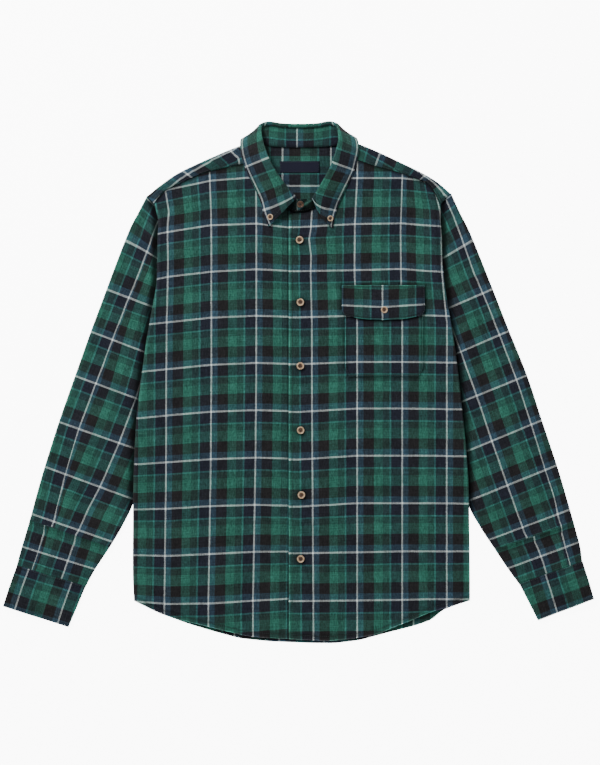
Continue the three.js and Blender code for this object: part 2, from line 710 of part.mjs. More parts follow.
add('back', backPiece(), flannel);
for (const side of ['right', 'left']) {
  add(`front_${side}`, wall(FRONT_GRIDS[side], CLOTH, { flip: side === 'right' }), flannel);
  add(`sleeve_${side}`, sleevePiece(side), flannel);
  add(`cuff_${side}`, cuffPiece(side), flannelDouble);
}
add('yoke', yokePiece(), flannel);
add('collar_leaf', wall(LEAF_GRID, DOUBLE, { flip: true }), flannelDouble);
add('collar_stand', standPiece(), flannelDouble);

add('pocket', laidOn(pocketGrid(), topOfFront, CLOTH), flannel);
add('pocket_flap', laidOn(flapGrid(), (x, y) => topOfFront(x, y) + SEAM + CLOTH, CLOTH), flannel);
const label = [LABEL.bottom, LABEL.top].map((y) => [LABEL.left, LABEL.right].map((x) => [x, y]));
add('neck_label', laidOn(label, () => CLOTH, LABEL.thickness), navyTape);

// Buttons, each seated on the cloth under it and tilted with it.
const BUTTONS = {
  columns: ['name', 'x', 'y', 'size'],
  rows: [
    ['button_front_1', 1.7, 219.8, BUTTON.body],
    ['button_front_2', 2.8, 123.4, BUTTON.body],
    ['button_front_3', 2.8, 24.8, BUTTON.body],
    ['button_front_4', 3.3, -74.7, BUTTON.body],
    ['button_front_5', 4.5, -174.8, BUTTON.body],
    ['button_front_6', 3.4, -273.7, BUTTON.body],
    ['button_flap', 132.5, 111.6, BUTTON.flap],
    ['button_collar_right', -43.4, 255, BUTTON.collar],
    ['button_collar_left', 48.8, 252.7, BUTTON.collar],
    ['button_stand', 3.1, 274.5, BUTTON.stand],
  ],
};

function baseUnder(name) {
  if (name.startsWith('button_collar')) return (x, y) => heightOn(LEAF_GRID, x, y);
  if (name === 'button_stand') return (x, y) => heightOn(STAND_GRID.slice(-6), x, y);
  const layers = name === 'button_flap' ? 2 * (SEAM + CLOTH) : 0;
  return (x, y) => topOfFront(x, y) + layers;
}

for (const [name, x, y, size] of BUTTONS.rows) {
  const button = add(name, buttonGeometry(size), horn);
  const base = baseUnder(name);
  const reach = size * 0.36;
  const slopeX = (base(x + reach, y) - base(x - reach, y)) / (2 * reach);
  const slopeY = (base(x, y + reach) - base(x, y - reach)) / (2 * reach);
  const up = new THREE.Vector3(-slopeX, -slopeY, 1).normalize();
  button.quaternion.setFromUnitVectors(new THREE.Vector3(0, 0, 1), up);
  const middle = Math.max(base(x, y), (base(x + reach, y) + base(x - reach, y)) / 2);
  button.position.set(x, y, middle).addScaledVector(up, SEAM);
}

for (const side of ['right', 'left']) {
  const [outerX, outerY, innerX, innerY] = CUFF[side][1];
  const button = add(`button_cuff_${side}`, buttonGeometry(BUTTON.cuff), horn);
  button.rotation.x = Math.PI;
  const [x, y] = [mix(outerX, innerX, CUFF_BUTTON_SHARE), mix(outerY, innerY, CUFF_BUTTON_SHARE)];
  button.position.set(x, y, BUTTON.thickness);
}

export default shirt;
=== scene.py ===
# %% [markdown]
# # A plaid flannel shirt, laid flat
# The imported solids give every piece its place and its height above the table. This lesson covers
# them with cloth: fine sheets that follow the same shapes, thickened to a wall, with the plaid woven
# in by a material. Work is in millimetres and is turned to metres when a mesh is made.

# %% Tools and the fixed frame
import math

import bpy
import numpy as np
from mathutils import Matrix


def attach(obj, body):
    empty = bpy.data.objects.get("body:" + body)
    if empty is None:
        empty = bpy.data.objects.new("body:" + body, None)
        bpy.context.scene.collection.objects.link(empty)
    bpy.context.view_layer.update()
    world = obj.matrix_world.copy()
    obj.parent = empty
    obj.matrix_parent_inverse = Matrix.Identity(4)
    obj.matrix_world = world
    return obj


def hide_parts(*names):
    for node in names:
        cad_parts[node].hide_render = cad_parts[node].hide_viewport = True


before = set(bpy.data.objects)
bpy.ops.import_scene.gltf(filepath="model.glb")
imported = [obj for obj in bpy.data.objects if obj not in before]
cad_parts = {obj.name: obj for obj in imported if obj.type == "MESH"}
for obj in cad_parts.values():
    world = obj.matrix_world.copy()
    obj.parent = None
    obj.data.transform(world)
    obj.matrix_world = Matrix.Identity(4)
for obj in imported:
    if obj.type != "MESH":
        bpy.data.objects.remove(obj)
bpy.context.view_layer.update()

MM = 0.001
CLOTH = 1.2  # one layer of brushed flannel
DOUBLE = 1.5  # doubled and pressed: collar, stand and cuffs
SEAM = 0.3  # gap between layers
FRONT_TOP, LAP_TOP, YOKE_TOP, SLEEVE_TOP, TUCKED_TOP = 4.8, 3.3, 5.6, 5.6, 3.0
BODY_LIFT = TUCKED_TOP + 0.5
UNDERARM_Y, BACK_SEAM_Y = 98, 276


# %% [markdown]
# ## The camera, the floor and the light
# The photograph looks straight down from well above, so a long lens is hung over the middle of the
# shirt. A big soft light stands on each side, as in a studio, over a pale floor.

# %% Camera
camera_data = bpy.data.cameras.new("camera")
camera = bpy.data.objects.new("camera", camera_data)
bpy.context.scene.collection.objects.link(camera)
bpy.context.scene.camera = camera
CAMERA_HEIGHT = 2.6
VIEW_HEIGHT = 1.18575  # metres of table from the top of the picture to the bottom
camera.location = (0.0023, -0.0008, CAMERA_HEIGHT)
camera_data.sensor_width = 36
camera_data.lens = camera_data.sensor_width * CAMERA_HEIGHT / VIEW_HEIGHT
print("lens", round(camera_data.lens, 1))


# %% Floor
def plain_material(name, colour, roughness):
    finish = bpy.data.materials.new(name)
    finish.use_nodes = True
    shader = finish.node_tree.nodes["Principled BSDF"]
    shader.inputs["Base Color"].default_value = (*colour, 1)
    shader.inputs["Roughness"].default_value = roughness
    return finish


bpy.ops.object.select_all(action="DESELECT")
bpy.ops.mesh.primitive_plane_add(size=8, location=(0, 0, -0.0003))
floor = bpy.context.active_object
floor.name = "floor"
paper = plain_material("floor_paper", (0.93, 0.93, 0.93), 0.9)
paper_shader = paper.node_tree.nodes["Principled BSDF"]
paper_shader.inputs["Emission Color"].default_value = (1, 1, 1, 1)
paper_shader.inputs["Emission Strength"].default_value = 9.0  # as white as the ground of the photograph
floor.data.materials.append(paper)


# %% Lights
def soft_light(name, place, size, power):
    bpy.ops.object.light_add(type="AREA", location=place)
    light = bpy.context.active_object
    light.name = name
    light.data.shape = "SQUARE"
    light.data.size = size
    light.data.energy = power
    x, y, height = place
    light.rotation_euler = (math.atan2(math.hypot(x, y), height), 0, math.atan2(-x, y) + math.pi)
    print(name, power, "W from", place)


soft_light("key_light", (-1.6, 2.3, 2.2), 1.1, 185)
soft_light("fill_light", (2.2, -1.4, 2.6), 2.4, 38)
world = bpy.data.worlds.new("studio")
bpy.context.scene.world = world
world.use_nodes = True
world.node_tree.nodes["Background"].inputs["Color"].default_value = (1, 1, 1, 1)
world.node_tree.nodes["Background"].inputs["Strength"].default_value = 0.42


# %% [markdown]
# ## The plaid
# The cloth is a twill of dyed yarns. The stripes across repeat every 70 mm and the stripes down every
# 73 mm, and where two colours cross the eye sees their mixture. Each sheet carries a map that counts
# repeats: whole numbers lie in the middle of a white stripe. The material looks up one set of
# stripes for each direction and lets the twill choose between them.

# %% Stripes, in millimetres, with the colours as the eye sees them
YARN = {
    "white": (0.77, 0.80, 0.79),
    "blue": (0.185, 0.262, 0.312),
    "black": (0.135, 0.132, 0.135),
    "green": (0.172, 0.347, 0.300),
    "dark_green": (0.146, 0.246, 0.225),
    "teal": (0.20, 0.39, 0.375),
    "navy": (0.130, 0.140, 0.172),
}
ACROSS = [("white", 2.4), ("blue", 8.3), ("black", 16.3), ("green", 13.6), ("dark_green", 10.1),
          ("teal", 2.8), ("navy", 15.9)]
DOWN = [("white", 2.8), ("navy", 16.2), ("teal", 2.5), ("dark_green", 9.7), ("green", 16.1),
        ("black", 16.4), ("blue", 9.2)]
REPEAT_ACROSS = sum(width for _, width in ACROSS)
REPEAT_DOWN = sum(width for _, width in DOWN)
print("repeat", REPEAT_ACROSS, "x", REPEAT_DOWN, "mm")


# %% The flannel material
YARN_CONTRAST = 0.55  # how much lighter or darker than the next one a yarn may be
PATCH_CONTRAST, FIBRE_CONTRAST, PLAIN_TONE = 0.26, 0.85, 0.72
TWILL_STEP = 0.95  # mm from one slanted rib of the twill to the next


def node(tree, kind, **settings):
    made = tree.nodes.new(kind)
    for name, value in settings.items():
        setattr(made, name, value)
    return made


def calculate(tree, operation, first, second=None, third=None):
    made = node(tree, "ShaderNodeMath", operation=operation)
    for slot_number, value in enumerate((first, second, third)):
        if value is None:
            continue
        if isinstance(value, (int, float)):
            made.inputs[slot_number].default_value = value
        else:
            tree.links.new(value, made.inputs[slot_number])
    return made.outputs[0]


def noise(tree, vector, scale, detail):
    made = node(tree, "ShaderNodeTexNoise")
    made.inputs["Scale"].default_value = scale
    made.inputs["Detail"].default_value = detail
    tree.links.new(vector, made.inputs["Vector"])
    return made.outputs["Fac"]


def add_relief(tree, height, strength, distance):
    bump = node(tree, "ShaderNodeBump")
    bump.inputs["Strength"].default_value = strength
    bump.inputs["Distance"].default_value = distance
    tree.links.new(height, bump.inputs["Height"])
    tree.links.new(bump.outputs[0], tree.nodes["Principled BSDF"].inputs["Normal"])


def two_tone(tree, pattern, places, colours):
    """Paints a pattern between two colours on the material."""
    ramp = node(tree, "ShaderNodeValToRGB")
    for stop, place, colour in zip(ramp.color_ramp.elements, places, colours):
        stop.position = place
        stop.color = (*colour, 1)
    tree.links.new(pattern, ramp.inputs["Fac"])
    tree.links.new(ramp.outputs["Color"], tree.nodes["Principled BSDF"].inputs["Base Color"])


def stripe_ramp(tree, stripes, count):
    total = sum(width for _, width in stripes)
    ramp = node(tree, "ShaderNodeValToRGB")
    ramp.color_ramp.interpolation = "CONSTANT"
    shifted = calculate(tree, "FRACT", calculate(tree, "ADD", count, stripes[0][1] / 2 / total))
    tree.links.new(shifted, ramp.inputs["Fac"])
    start = 0
    for number, (colour, width) in enumerate(stripes):
        stops = ramp.color_ramp.elements
        stop = stops[number] if number < 2 else stops.new(start / total)
        stop.position = start / total
        stop.color = (*YARN[colour], 1)
        start += width
    return ramp.outputs["Color"]


def flannel_material(name, brightness):
    finish = bpy.data.materials.new(name)
    finish.use_nodes = True
    tree = finish.node_tree
    shader = tree.nodes["Principled BSDF"]
    chart = node(tree, "ShaderNodeUVMap", uv_map="cloth")
    parts = node(tree, "ShaderNodeSeparateXYZ")
    tree.links.new(chart.outputs["UV"], parts.inputs[0])
    across, down = parts.outputs["X"], parts.outputs["Y"]
    # Twill: which of the two yarns lies on top steps sideways from one row to the next.
    across_mm = calculate(tree, "MULTIPLY", across, REPEAT_ACROSS)
    down_mm = calculate(tree, "MULTIPLY", down, REPEAT_DOWN)
    slant = calculate(tree, "ADD", across_mm, down_mm)
    wave = calculate(tree, "SINE", calculate(tree, "MULTIPLY", slant, 2 * math.pi / TWILL_STEP))
    share = calculate(tree, "MULTIPLY_ADD", wave, 0.3, 0.5)
    mixed = node(tree, "ShaderNodeMix", data_type="RGBA")
    tree.links.new(share, mixed.inputs["Factor"])
    tree.links.new(stripe_ramp(tree, ACROSS, across), mixed.inputs["A"])
    tree.links.new(stripe_ramp(tree, DOWN, down), mixed.inputs["B"])
    # Each yarn is a little thicker or darker than the next, so fine streaks run both ways.
    streaks = []
    for fine_x, fine_y in ((0.85, 0.045), (0.045, 0.85)):
        along = node(tree, "ShaderNodeCombineXYZ")
        tree.links.new(calculate(tree, "MULTIPLY", across_mm, fine_x), along.inputs["X"])
        tree.links.new(calculate(tree, "MULTIPLY", down_mm, fine_y), along.inputs["Y"])
        streaks.append(noise(tree, along.outputs[0], 1, 2))
    slubs = calculate(tree, "ADD", *streaks)
    # Uneven dye and brushed fibres: slow patches, and short streaks along the yarns.
    place = node(tree, "ShaderNodeTexCoord")
    patches = noise(tree, place.outputs["Object"], 28, 3)
    stretched = node(tree, "ShaderNodeMapping")
    stretched.inputs["Scale"].default_value = (900, 260, 900)
    tree.links.new(place.outputs["Object"], stretched.inputs["Vector"])
    fibres = noise(tree, stretched.outputs[0], 1, 3)
    base_tone = PLAIN_TONE - PATCH_CONTRAST - YARN_CONTRAST
    uneven = calculate(tree, "MULTIPLY_ADD", patches, PATCH_CONTRAST, base_tone)
    uneven = calculate(tree, "MULTIPLY_ADD", slubs, YARN_CONTRAST, uneven)
    fuzzy = calculate(tree, "MULTIPLY_ADD", fibres, FIBRE_CONTRAST, uneven)
    # Painted light, carried by the sheets as a per-point attribute: lighter edges, some of them painted
    # highlights, and painted shade beside seams, under overlapping pieces, round the buttons and where the
    # sleeves meet the body.
    painted_shade_and_light_edges = node(tree, "ShaderNodeAttribute", attribute_name="painted_shade_and_light_edges")
    tone_shift = calculate(tree, "MULTIPLY_ADD", painted_shade_and_light_edges.outputs["Fac"], brightness, brightness)
    tone = calculate(tree, "MULTIPLY", fuzzy, tone_shift)
    shaded = node(tree, "ShaderNodeVectorMath", operation="SCALE")
    tree.links.new(mixed.outputs["Result"], shaded.inputs[0])
    tree.links.new(tone, shaded.inputs["Scale"])
    seen = node(tree, "ShaderNodeGamma")
    seen.inputs["Gamma"].default_value = 2.2
    tree.links.new(shaded.outputs[0], seen.inputs["Color"])
    tree.links.new(seen.outputs[0], shader.inputs["Base Color"])
    # Relief of the twill and of the nap.
    add_relief(tree, calculate(tree, "MULTIPLY_ADD", wave, 0.25, fibres), 0.35, 0.0003)
    shader.inputs["Roughness"].default_value = 0.92
    shader.inputs["Specular IOR Level"].default_value = 0.04
    shader.inputs["Sheen Weight"].default_value = 0.03
    shader.inputs["Sheen Roughness"].default_value = 0.6
    return finish


flannel = flannel_material("brushed_plaid_flannel", 0.97)
# The second copy is the same flannel made darker: painted shade for the inside of the back, which lies in the
# shade of the fronts.
flannel_painted_shade = flannel_material("plaid_flannel_painted_shade", 0.8)
print("flannel ready, with its darker unbrushed side")


# %% [markdown]
# ## Sheets from rows of points
# A maker cuts each piece flat and lets it lie. Here every piece starts as a plain grid whose points
# are put in their places row by row, from left to right and from the collar down, so its faces look
# outwards. The map of the plaid is written at the same time. Solidify then gives the cloth its
# thickness inwards, and the edge shows as a real edge.

# %% Small helpers
def smooth(low, high, value):
    t = np.clip((np.asarray(value, float) - low) / (high - low), 0, 1)
    return t * t * (3 - 2 * t)


def mix(a, b, t):
    return a + (b - a) * t


def read(rows, key, column, value):
    ordered = sorted(rows, key=lambda row: row[key])
    return np.interp(value, [row[key] for row in ordered], [row[column] for row in ordered])


def soft_line(rows, key, column, reach):
    """A table as a line whose corners are rounded over a length."""
    ordered = np.array(sorted(rows, key=lambda row: row[key]), float)
    low, high = ordered[0][key], ordered[-1][key]
    keys = np.arange(low, high + 1, 1.0)
    values = np.interp(keys, ordered[:, key], ordered[:, column])
    around = np.pad(values, reach, mode="reflect", reflect_type="odd")
    window = np.hanning(2 * reach + 3)[1:-1]
    rounded = np.convolve(around, window / window.sum(), mode="valid")
    return lambda value: np.interp(value, keys, rounded)


def between(rows, row):
    """Rows of a table, read smoothly between two whole numbers."""
    table = np.array(rows, float)
    row = np.atleast_1d(np.asarray(row, float))
    last = len(table) - 1
    base = np.clip(np.floor(row).astype(int), 0, last - 1)
    t = (row - base)[:, None]
    a, b, c, d = (table[np.clip(base + step, 0, last)] for step in (-1, 0, 1, 2))
    square, cube = t * t, t * t * t
    return (b * (2 * cube - 3 * square + 1) + c * (3 * square - 2 * cube)
            + (c - a) / 2 * (cube - 2 * square + t) + (d - b) / 2 * (cube - square))


def shares(length, step, ends=(0.0, 0.5, 1.2, 2.2, 3.6)):
    """Places from 0 to 1 along a length, closer together at both ends."""
    near = np.array(ends) / length
    middle = np.linspace(near[-1], 1 - near[-1], max(int(length / step), 3))
    return np.concatenate([near[:-1], middle, 1 - near[-2::-1]])


def line_at(distance, place, width):
    """A soft line: 1 at its place, and nothing a few widths away."""
    return np.exp(-((distance - place) / width) ** 2)


def run_along(line):
    """How far each point of a line lies along it."""
    return np.concatenate([[0], np.cumsum(np.linalg.norm(np.diff(line, axis=0), axis=1))])


def together(*columns):
    """Arrays of one shape as the last axis of one array."""
    return np.stack(columns, axis=-1)


# %% A sheet
def alone():
    bpy.ops.object.select_all(action="DESELECT")


def pick(*pieces):
    """Selects the pieces alone; the last one is active."""
    alone()
    for piece in pieces:
        piece.select_set(True)
    bpy.context.view_layer.objects.active = pieces[-1]


def sheet_of(name, points, chart, thickness, tube=False, painted_shade_and_light_edges=None):
    """Points and chart: arrays of rows down and columns across, in mm and in repeats of the plaid."""
    rows, columns = points.shape[:2]
    alone()
    bpy.ops.mesh.primitive_grid_add(x_subdivisions=columns - 1, y_subdivisions=rows - 1, size=2)
    piece = bpy.context.active_object
    piece.name = piece.data.name = name
    spots = np.empty(len(piece.data.vertices) * 3)
    piece.data.vertices.foreach_get("co", spots)
    spots = spots.reshape(-1, 3)
    across = np.rint((spots[:, 0] + 1) / 2 * (columns - 1)).astype(int)
    down = np.rint((1 - spots[:, 1]) / 2 * (rows - 1)).astype(int)
    piece.data.vertices.foreach_set("co", (points[down, across] * MM).ravel())
    corner = np.empty(len(piece.data.loops), dtype=np.int32)
    piece.data.loops.foreach_get("vertex_index", corner)
    while piece.data.uv_layers:
        piece.data.uv_layers.remove(piece.data.uv_layers[0])
    layer = piece.data.uv_layers.new(name="cloth")
    layer.data.foreach_set("uv", chart[down[corner], across[corner]].ravel().astype(np.float32))
    # The painted light of the sheet, lighter edges and painted shade, is stored per point for the flannel
    # material.
    if painted_shade_and_light_edges is not None:
        wear = piece.data.attributes.new("painted_shade_and_light_edges", "FLOAT", "POINT")
        wear.data.foreach_set("value", painted_shade_and_light_edges[down, across].astype(np.float32))
    if tube:
        bpy.ops.object.mode_set(mode="EDIT")
        bpy.ops.mesh.select_all(action="SELECT")
        bpy.ops.mesh.remove_doubles(threshold=1e-6)
        bpy.ops.object.mode_set(mode="OBJECT")
    wall = piece.modifiers.new("wall", "SOLIDIFY")
    wall.thickness = thickness * MM
    wall.offset = -1
    bpy.ops.object.modifier_apply(modifier=wall.name)
    bpy.ops.object.shade_smooth()
    piece.data.update()
    return piece


def area_of(piece):
    return sum(face.area for face in piece.data.polygons) / 2


def paint_shade_on_inside(piece):
    """Painted shade: the upper faces of a sheet that is seen from the inside of the shirt take the darker
    copy of the flannel.
    """
    piece.data.materials.append(flannel_painted_shade)
    for face in piece.data.polygons:
        if face.normal.z > 0.3:
            face.material_index = 1


def finish_piece(piece, material, replaced=()):
    piece.data.materials.clear()
    piece.data.materials.append(material)
    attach(piece, "root")
    if replaced:
        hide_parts(*replaced)
    triangles = sum(len(face.vertices) - 2 for face in piece.data.polygons)
    print(piece.name, triangles, "triangles, area", round(area_of(piece), 4))
    return piece


# %% [markdown]
# ## Stitches
# Beside every sewn edge runs a row of small stitches, eight to the inch. One stitch is a ball drawn
# out long and low. A row is that stitch repeated along a line that keeps its distance from an edge
# of a sheet, so it lies on the cloth wherever the cloth goes.

# %% One stitch
STITCH_STEP, STITCH_SIZE = 3.2, (2.3, 0.6, 0.45)


def one_stitch():
    alone()
    bpy.ops.mesh.primitive_uv_sphere_add(segments=6, ring_count=4, radius=0.5)
    ball = bpy.context.active_object
    bpy.ops.transform.resize(value=STITCH_SIZE)
    bpy.ops.object.transform_apply(location=False, rotation=False, scale=True)
    spots = np.array([vertex.co for vertex in ball.data.vertices])
    # Blender lists the faces of a ball in another order on each run, so they are put in one order.
    faces = sorted(tuple(face.vertices) for face in ball.data.polygons)
    bpy.data.objects.remove(ball)
    return spots, faces


STITCH, STITCH_FACES = one_stitch()
seam_thread = plain_material("dark_green_thread", (0.013, 0.024, 0.023), 0.75)


# %% Rows of stitches
def beside(points, edge, distance, trim=2.0):
    """A line over a sheet of points that keeps its distance from one of its four edges."""
    grid = {"top": points, "bottom": points[::-1], "left": points.transpose(1, 0, 2),
            "right": points.transpose(1, 0, 2)[::-1]}[edge]
    line = np.array([[np.interp(distance, run_along(column), column[:, k]) for k in range(3)]
                     for column in grid.transpose(1, 0, 2)])
    run = run_along(line)
    return line[(run >= trim) & (run <= run[-1] - trim)]


def sew(name, lines):
    spots, faces = [], []
    for line in lines:
        run = run_along(line)
        count = int(run[-1] / STITCH_STEP)
        for place in (np.arange(count) + 0.5) * run[-1] / max(count, 1):
            behind, ahead = (np.array([np.interp(place + step, run, line[:, k]) for k in range(3)])
                             for step in (-0.8, 0.8))
            along = (ahead - behind) / np.linalg.norm(ahead - behind)
            side = np.cross((0, 0, 1), along)
            steep = np.linalg.norm(side) <= 0.05
            side = np.array([1.0, 0, 0]) if steep else side / np.linalg.norm(side)
            base = len(spots) * len(STITCH)
            spots.append((ahead + behind) / 2 + STITCH @ np.stack([along, side, np.cross(along, side)]))
            faces += [tuple(base + vertex for vertex in face) for face in STITCH_FACES]
    mesh = bpy.data.meshes.new(name)
    mesh.from_pydata((np.concatenate(spots) * MM).tolist(), [], faces)
    piece = bpy.data.objects.new(name, mesh)
    bpy.context.scene.collection.objects.link(piece)
    pick(piece)
    bpy.ops.object.shade_smooth()
    finish_piece(piece, seam_thread)


# %% [markdown]
# ## The lie of the shirt
# These tables are the shirt as it lies: the sides of the body, the seams, the hems and the sleeves.
# They are the same numbers as the solids have, so the cloth goes where the frame says.

# %% Tables of the body
SIDE = [  # y, x of the wearer's right edge, x of the left edge
    (276, -224, 221), (252, -217.3, 219.8), (222, -218.5, 222.4), (190, -219.2, 223),
    (155, -219.6, 226.3), (125, -224.8, 230.6), (98, -229.6, 235.2), (55, -237, 242.2),
    (5, -243.6, 248.3), (-45, -250, 253.6), (-95, -253.4, 259), (-145, -255.3, 262.7),
    (-188, -256, 264), (-225, -256.6, 264.7), (-265, -257, 265.4), (-305, -256.8, 265.7),
    (-336, -255, 265.8)]
SHOULDER = {  # fold x, y and front seam x, y, from the armhole to the neck
    "right": [(-234.8, 287.5, -224, 276), (-214.7, 303.8, -206.9, 296), (-188, 322.5, -182, 307.5),
              (-158, 337.3, -151, 321.8), (-121.7, 353.4, -114, 331.5), (-93, 365.2, -88, 337.2),
              (-77, 371.5, -71, 342)],
    "left": [(235.6, 291.8, 221, 276), (214.8, 309.6, 202, 305.5), (190, 324.6, 182, 315),
             (158, 340, 151, 325.3), (126.3, 355, 118.6, 334), (97, 367.4, 92, 343),
             (81, 373, 75, 345)]}
NECKLINE = {
    "right": [(-71, 342), (-62.5, 321), (-52.5, 302.5), (-38.5, 285), (-21.5, 271), (-6, 262.5),
              (19, 261)],
    "left": [(75, 345), (66.5, 321), (56.5, 303), (44.5, 286.5), (31, 273), (17.5, 265), (-15, 261)]}
HEM_FRONT = [(-256, -338), (-214, -358.5), (-184, -368), (-150, -376), (-110, -386), (-75, -394),
             (-28, -397), (20, -399.5), (52, -400.5), (90, -396), (125, -389.5), (150, -378.5),
             (180, -366.5), (206, -355.5), (230, -348.5), (266, -338)]
HEM_BACK = [(-256, -338.5), (-214, -359), (-168, -375.5), (-130, -386.8), (-91, -397.2), (-44, -402),
            (20, -404.6), (57, -404.8), (95, -400), (139, -388), (181, -377.4), (208, -368),
            (222, -353.5), (243, -346), (266, -338.5)]

FRONT_BUTTONS = [(1.7, 219.8), (2.8, 123.4), (2.8, 24.8), (3.3, -74.7), (4.5, -174.8), (3.4, -273.7)]

# %% Tables of the sleeves and cuffs: outer fold x, y and inner fold x, y
SLEEVE = {
    "right": [(-234.4, 288.6, -206, 268), (-247.5, 263.5, -204, 228), (-261.2, 237.2, -203, 190),
              (-281, 187.5, -202, 148), (-303.5, 127.1, -202, 95), (-322.1, 77.5, -208, 38),
              (-346.1, 9.6, -218, -36), (-371.1, -61.5, -233, -110), (-392.5, -129.1, -253, -180),
              (-405, -172, -270, -218), (-415.5, -211, -290, -252.5), (-428.6, -255.8, -314.8, -290.3),
              (-436.6, -286.6, -330.6, -319.4)],
    "left": [(236.4, 292.2, 206, 270), (249, 264.5, 205, 228), (265.8, 231, 205, 190),
             (287, 179, 209, 141), (307.5, 127.1, 218, 86), (326.3, 79.1, 227, 32),
             (353.9, 10.5, 235.5, -43), (377, -58.9, 247, -115), (400.1, -128.2, 261.7, -186),
             (413, -171, 280.5, -223.5), (425.5, -215, 302.5, -257), (435.6, -252.7, 322.5, -287),
             (439.2, -280.4, 343, -315)]}
CUFF = {
    "right": [(-436.8, -287, -330.8, -319.9), (-447.5, -316.5, -343.5, -350.2),
              (-457.2, -346.6, -356, -379.5)],
    "left": [(440.6, -280.9, 343.2, -315.5), (449.4, -308.6, 356.8, -342),
             (457.2, -335.4, 370.4, -369.2)]}

# %% Edges as rounded lines, and how the tucked sleeves lift the body
TUCK_END_Y = (-232, -192)  # where the sleeves come out from under the body
side_line = {"right": soft_line(SIDE, 0, 1, 14), "left": soft_line(SIDE, 0, 2, 14)}
inner_fold = {side: [row[2:] for row in SLEEVE[side][4:9]] for side in SLEEVE}


def inside(side, x, y):
    """How far a point lies inside the edge of the body."""
    return (side_line[side](y) - x) * (-1 if side == "right" else 1)


def lift_of(side, x, y):
    reach = np.maximum(inside(side, read(inner_fold[side], 1, 0, y), y), 0)
    along = smooth(UNDERARM_Y + 34, UNDERARM_Y + 6, y) * smooth(*TUCK_END_Y, y)
    return BODY_LIFT * along * smooth(reach + 25, reach + 7, inside(side, x, y))


def lift_at(x, y):
    return np.where(np.asarray(x) < 0, lift_of("right", x, y), lift_of("left", x, y))


# %% [markdown]
# ## Folds and creases
# Cloth that has been worn or unfolded is never flat. Each crease is a long soft ridge (or trough,
# when its height is below zero), placed where the photograph shows light and dark, and the
# seams add a fine pucker. One function gives the relief at any point of the body, so that the
# pocket, the flap and the buttons sit on the same ground as the cloth under them.

# %% Ridges: x, y, length, width, height, turn in degrees
BODY_RIDGES = [
    (207, 205, 74, 13, 1.6, 0), (-196, 172, 60, 15, 1.1, 8), (-120, -330, 60, 26, 1.0, 12),
    (232, -290, 70, 16, 1.3, -6), (-226, -300, 60, 15, 1.1, 5),
    (-170, 60, 120, 12, 0.7, 4), (-120, 180, 90, 14, 0.5, -6), (-90, -120, 160, 16, 0.55, 3),
    (-200, -140, 130, 14, 0.6, -3), (-40, -300, 90, 14, 0.6, 2), (110, -200, 150, 15, 0.6, -3),
    (180, -60, 130, 14, 0.6, 4), (60, 60, 120, 12, 0.45, -2), (70, 230, 60, 14, 0.6, 24),
    (-70, 240, 60, 12, 0.6, -28), (150, 260, 45, 10, 0.6, 50), (-150, 265, 45, 10, 0.6, -50),
    (40, -330, 70, 20, 0.7, -4), (160, -340, 55, 18, 0.8, -18), (-185, -310, 55, 14, 0.7, 16),
    (215, 60, 90, 10, 0.7, 2), (-225, 20, 90, 10, 0.7, -3)]
SLEEVE_RIDGES = [
    (-285, 100, 120, 12, 0.9, -20), (-330, -40, 120, 14, 0.9, -18), (-300, -120, 110, 14, 0.7, -14),
    (-380, -180, 70, 12, 0.8, -20), (-250, 60, 80, 10, 0.6, -10), (-350, -260, 45, 9, 0.9, -24),
    (-390, -275, 40, 8, 0.9, -16), (290, 100, 120, 12, 0.9, 20), (335, -40, 120, 14, 0.9, 18),
    (300, -130, 110, 14, 0.7, 14), (390, -180, 70, 12, 0.8, 20), (258, 60, 80, 10, 0.6, 10),
    (360, -255, 45, 9, 0.9, 26), (400, -262, 40, 8, 0.9, 16)]


def ridges(table, x, y):
    height = 0.0
    for middle_x, middle_y, length, width, top, turn in table:
        angle = math.radians(turn)
        along = ((y - middle_y) * math.cos(angle) + (x - middle_x) * math.sin(angle)) / length
        side = ((x - middle_x) * math.cos(angle) - (y - middle_y) * math.sin(angle)) / width
        height = height + top * np.exp(-along * along - side * side)
    return height


def unevenness(x, y, size):
    """A gentle wave without a visible repeat."""
    return size * (np.sin(x / 23.0 + 1.3 * np.sin(y / 41.0)) * np.sin(y / 31.0 + 0.9 * np.sin(x / 37.0))
                   + 0.5 * np.sin(x / 11.3 + y / 17.9 + 1.1))


def pucker(distance, run, size):
    """Fine ripples that die away from a seam."""
    beat = np.sin(run / 3.1 + 1.2 * np.sin(run / 19.0)) + 0.6 * np.sin(run / 5.3 + 2.0)
    return size * np.exp(-np.maximum(distance, 0) / 7.0) * beat


# %% Height of the fronts
RIGHT_EDGE_X, LEFT_EDGE_X = 19, -15  # the hidden edge of the right front, the folded one of the left
seam_line = {}
for side in ("right", "left"):
    joined = [row[2:] for row in SHOULDER[side][:6]] + NECKLINE[side]
    seam_line[side] = soft_line(joined, 0, 1, 5)
hem_front, hem_back = soft_line(HEM_FRONT, 0, 1, 12), soft_line(HEM_BACK, 0, 1, 12)


def body_relief(x, y):
    near_hem = np.maximum(y - hem_front(x), 0)
    return (ridges(BODY_RIDGES, x, y) + unevenness(x, y, 0.16)
            + pucker(near_hem, x, 0.12) + pucker(np.abs(x + 12), y, 0.06))


def front_top(side, x, y):
    # The right front sinks where the left one laps over it; the left one dips beside its folded edge.
    if side == "right":
        lap = smooth(-44, -19, x) * (FRONT_TOP - LAP_TOP) + 0.4 * smooth(-19.5, -16, x)
    else:
        lap = 0.35 * line_at(x, -9.5, 0.9) - 0.3 * line_at(x, -13.2, 1.6)
    # Along the upper sides the cloth stands fuller, over the sleeve seam.
    full = 1.9 * smooth(290, 240, y) * smooth(-250, -120, y)
    return (FRONT_TOP + 0.7 * lift_at(x, y) + body_relief(x, y) - lap
            + full * line_at(inside(side, x, y), 6, 9))


def on_front(x, y):
    """Top of whichever front shows at a point."""
    return np.where(np.asarray(x) < LEFT_EDGE_X + 0.1, front_top("right", x, y), front_top("left", x, y))
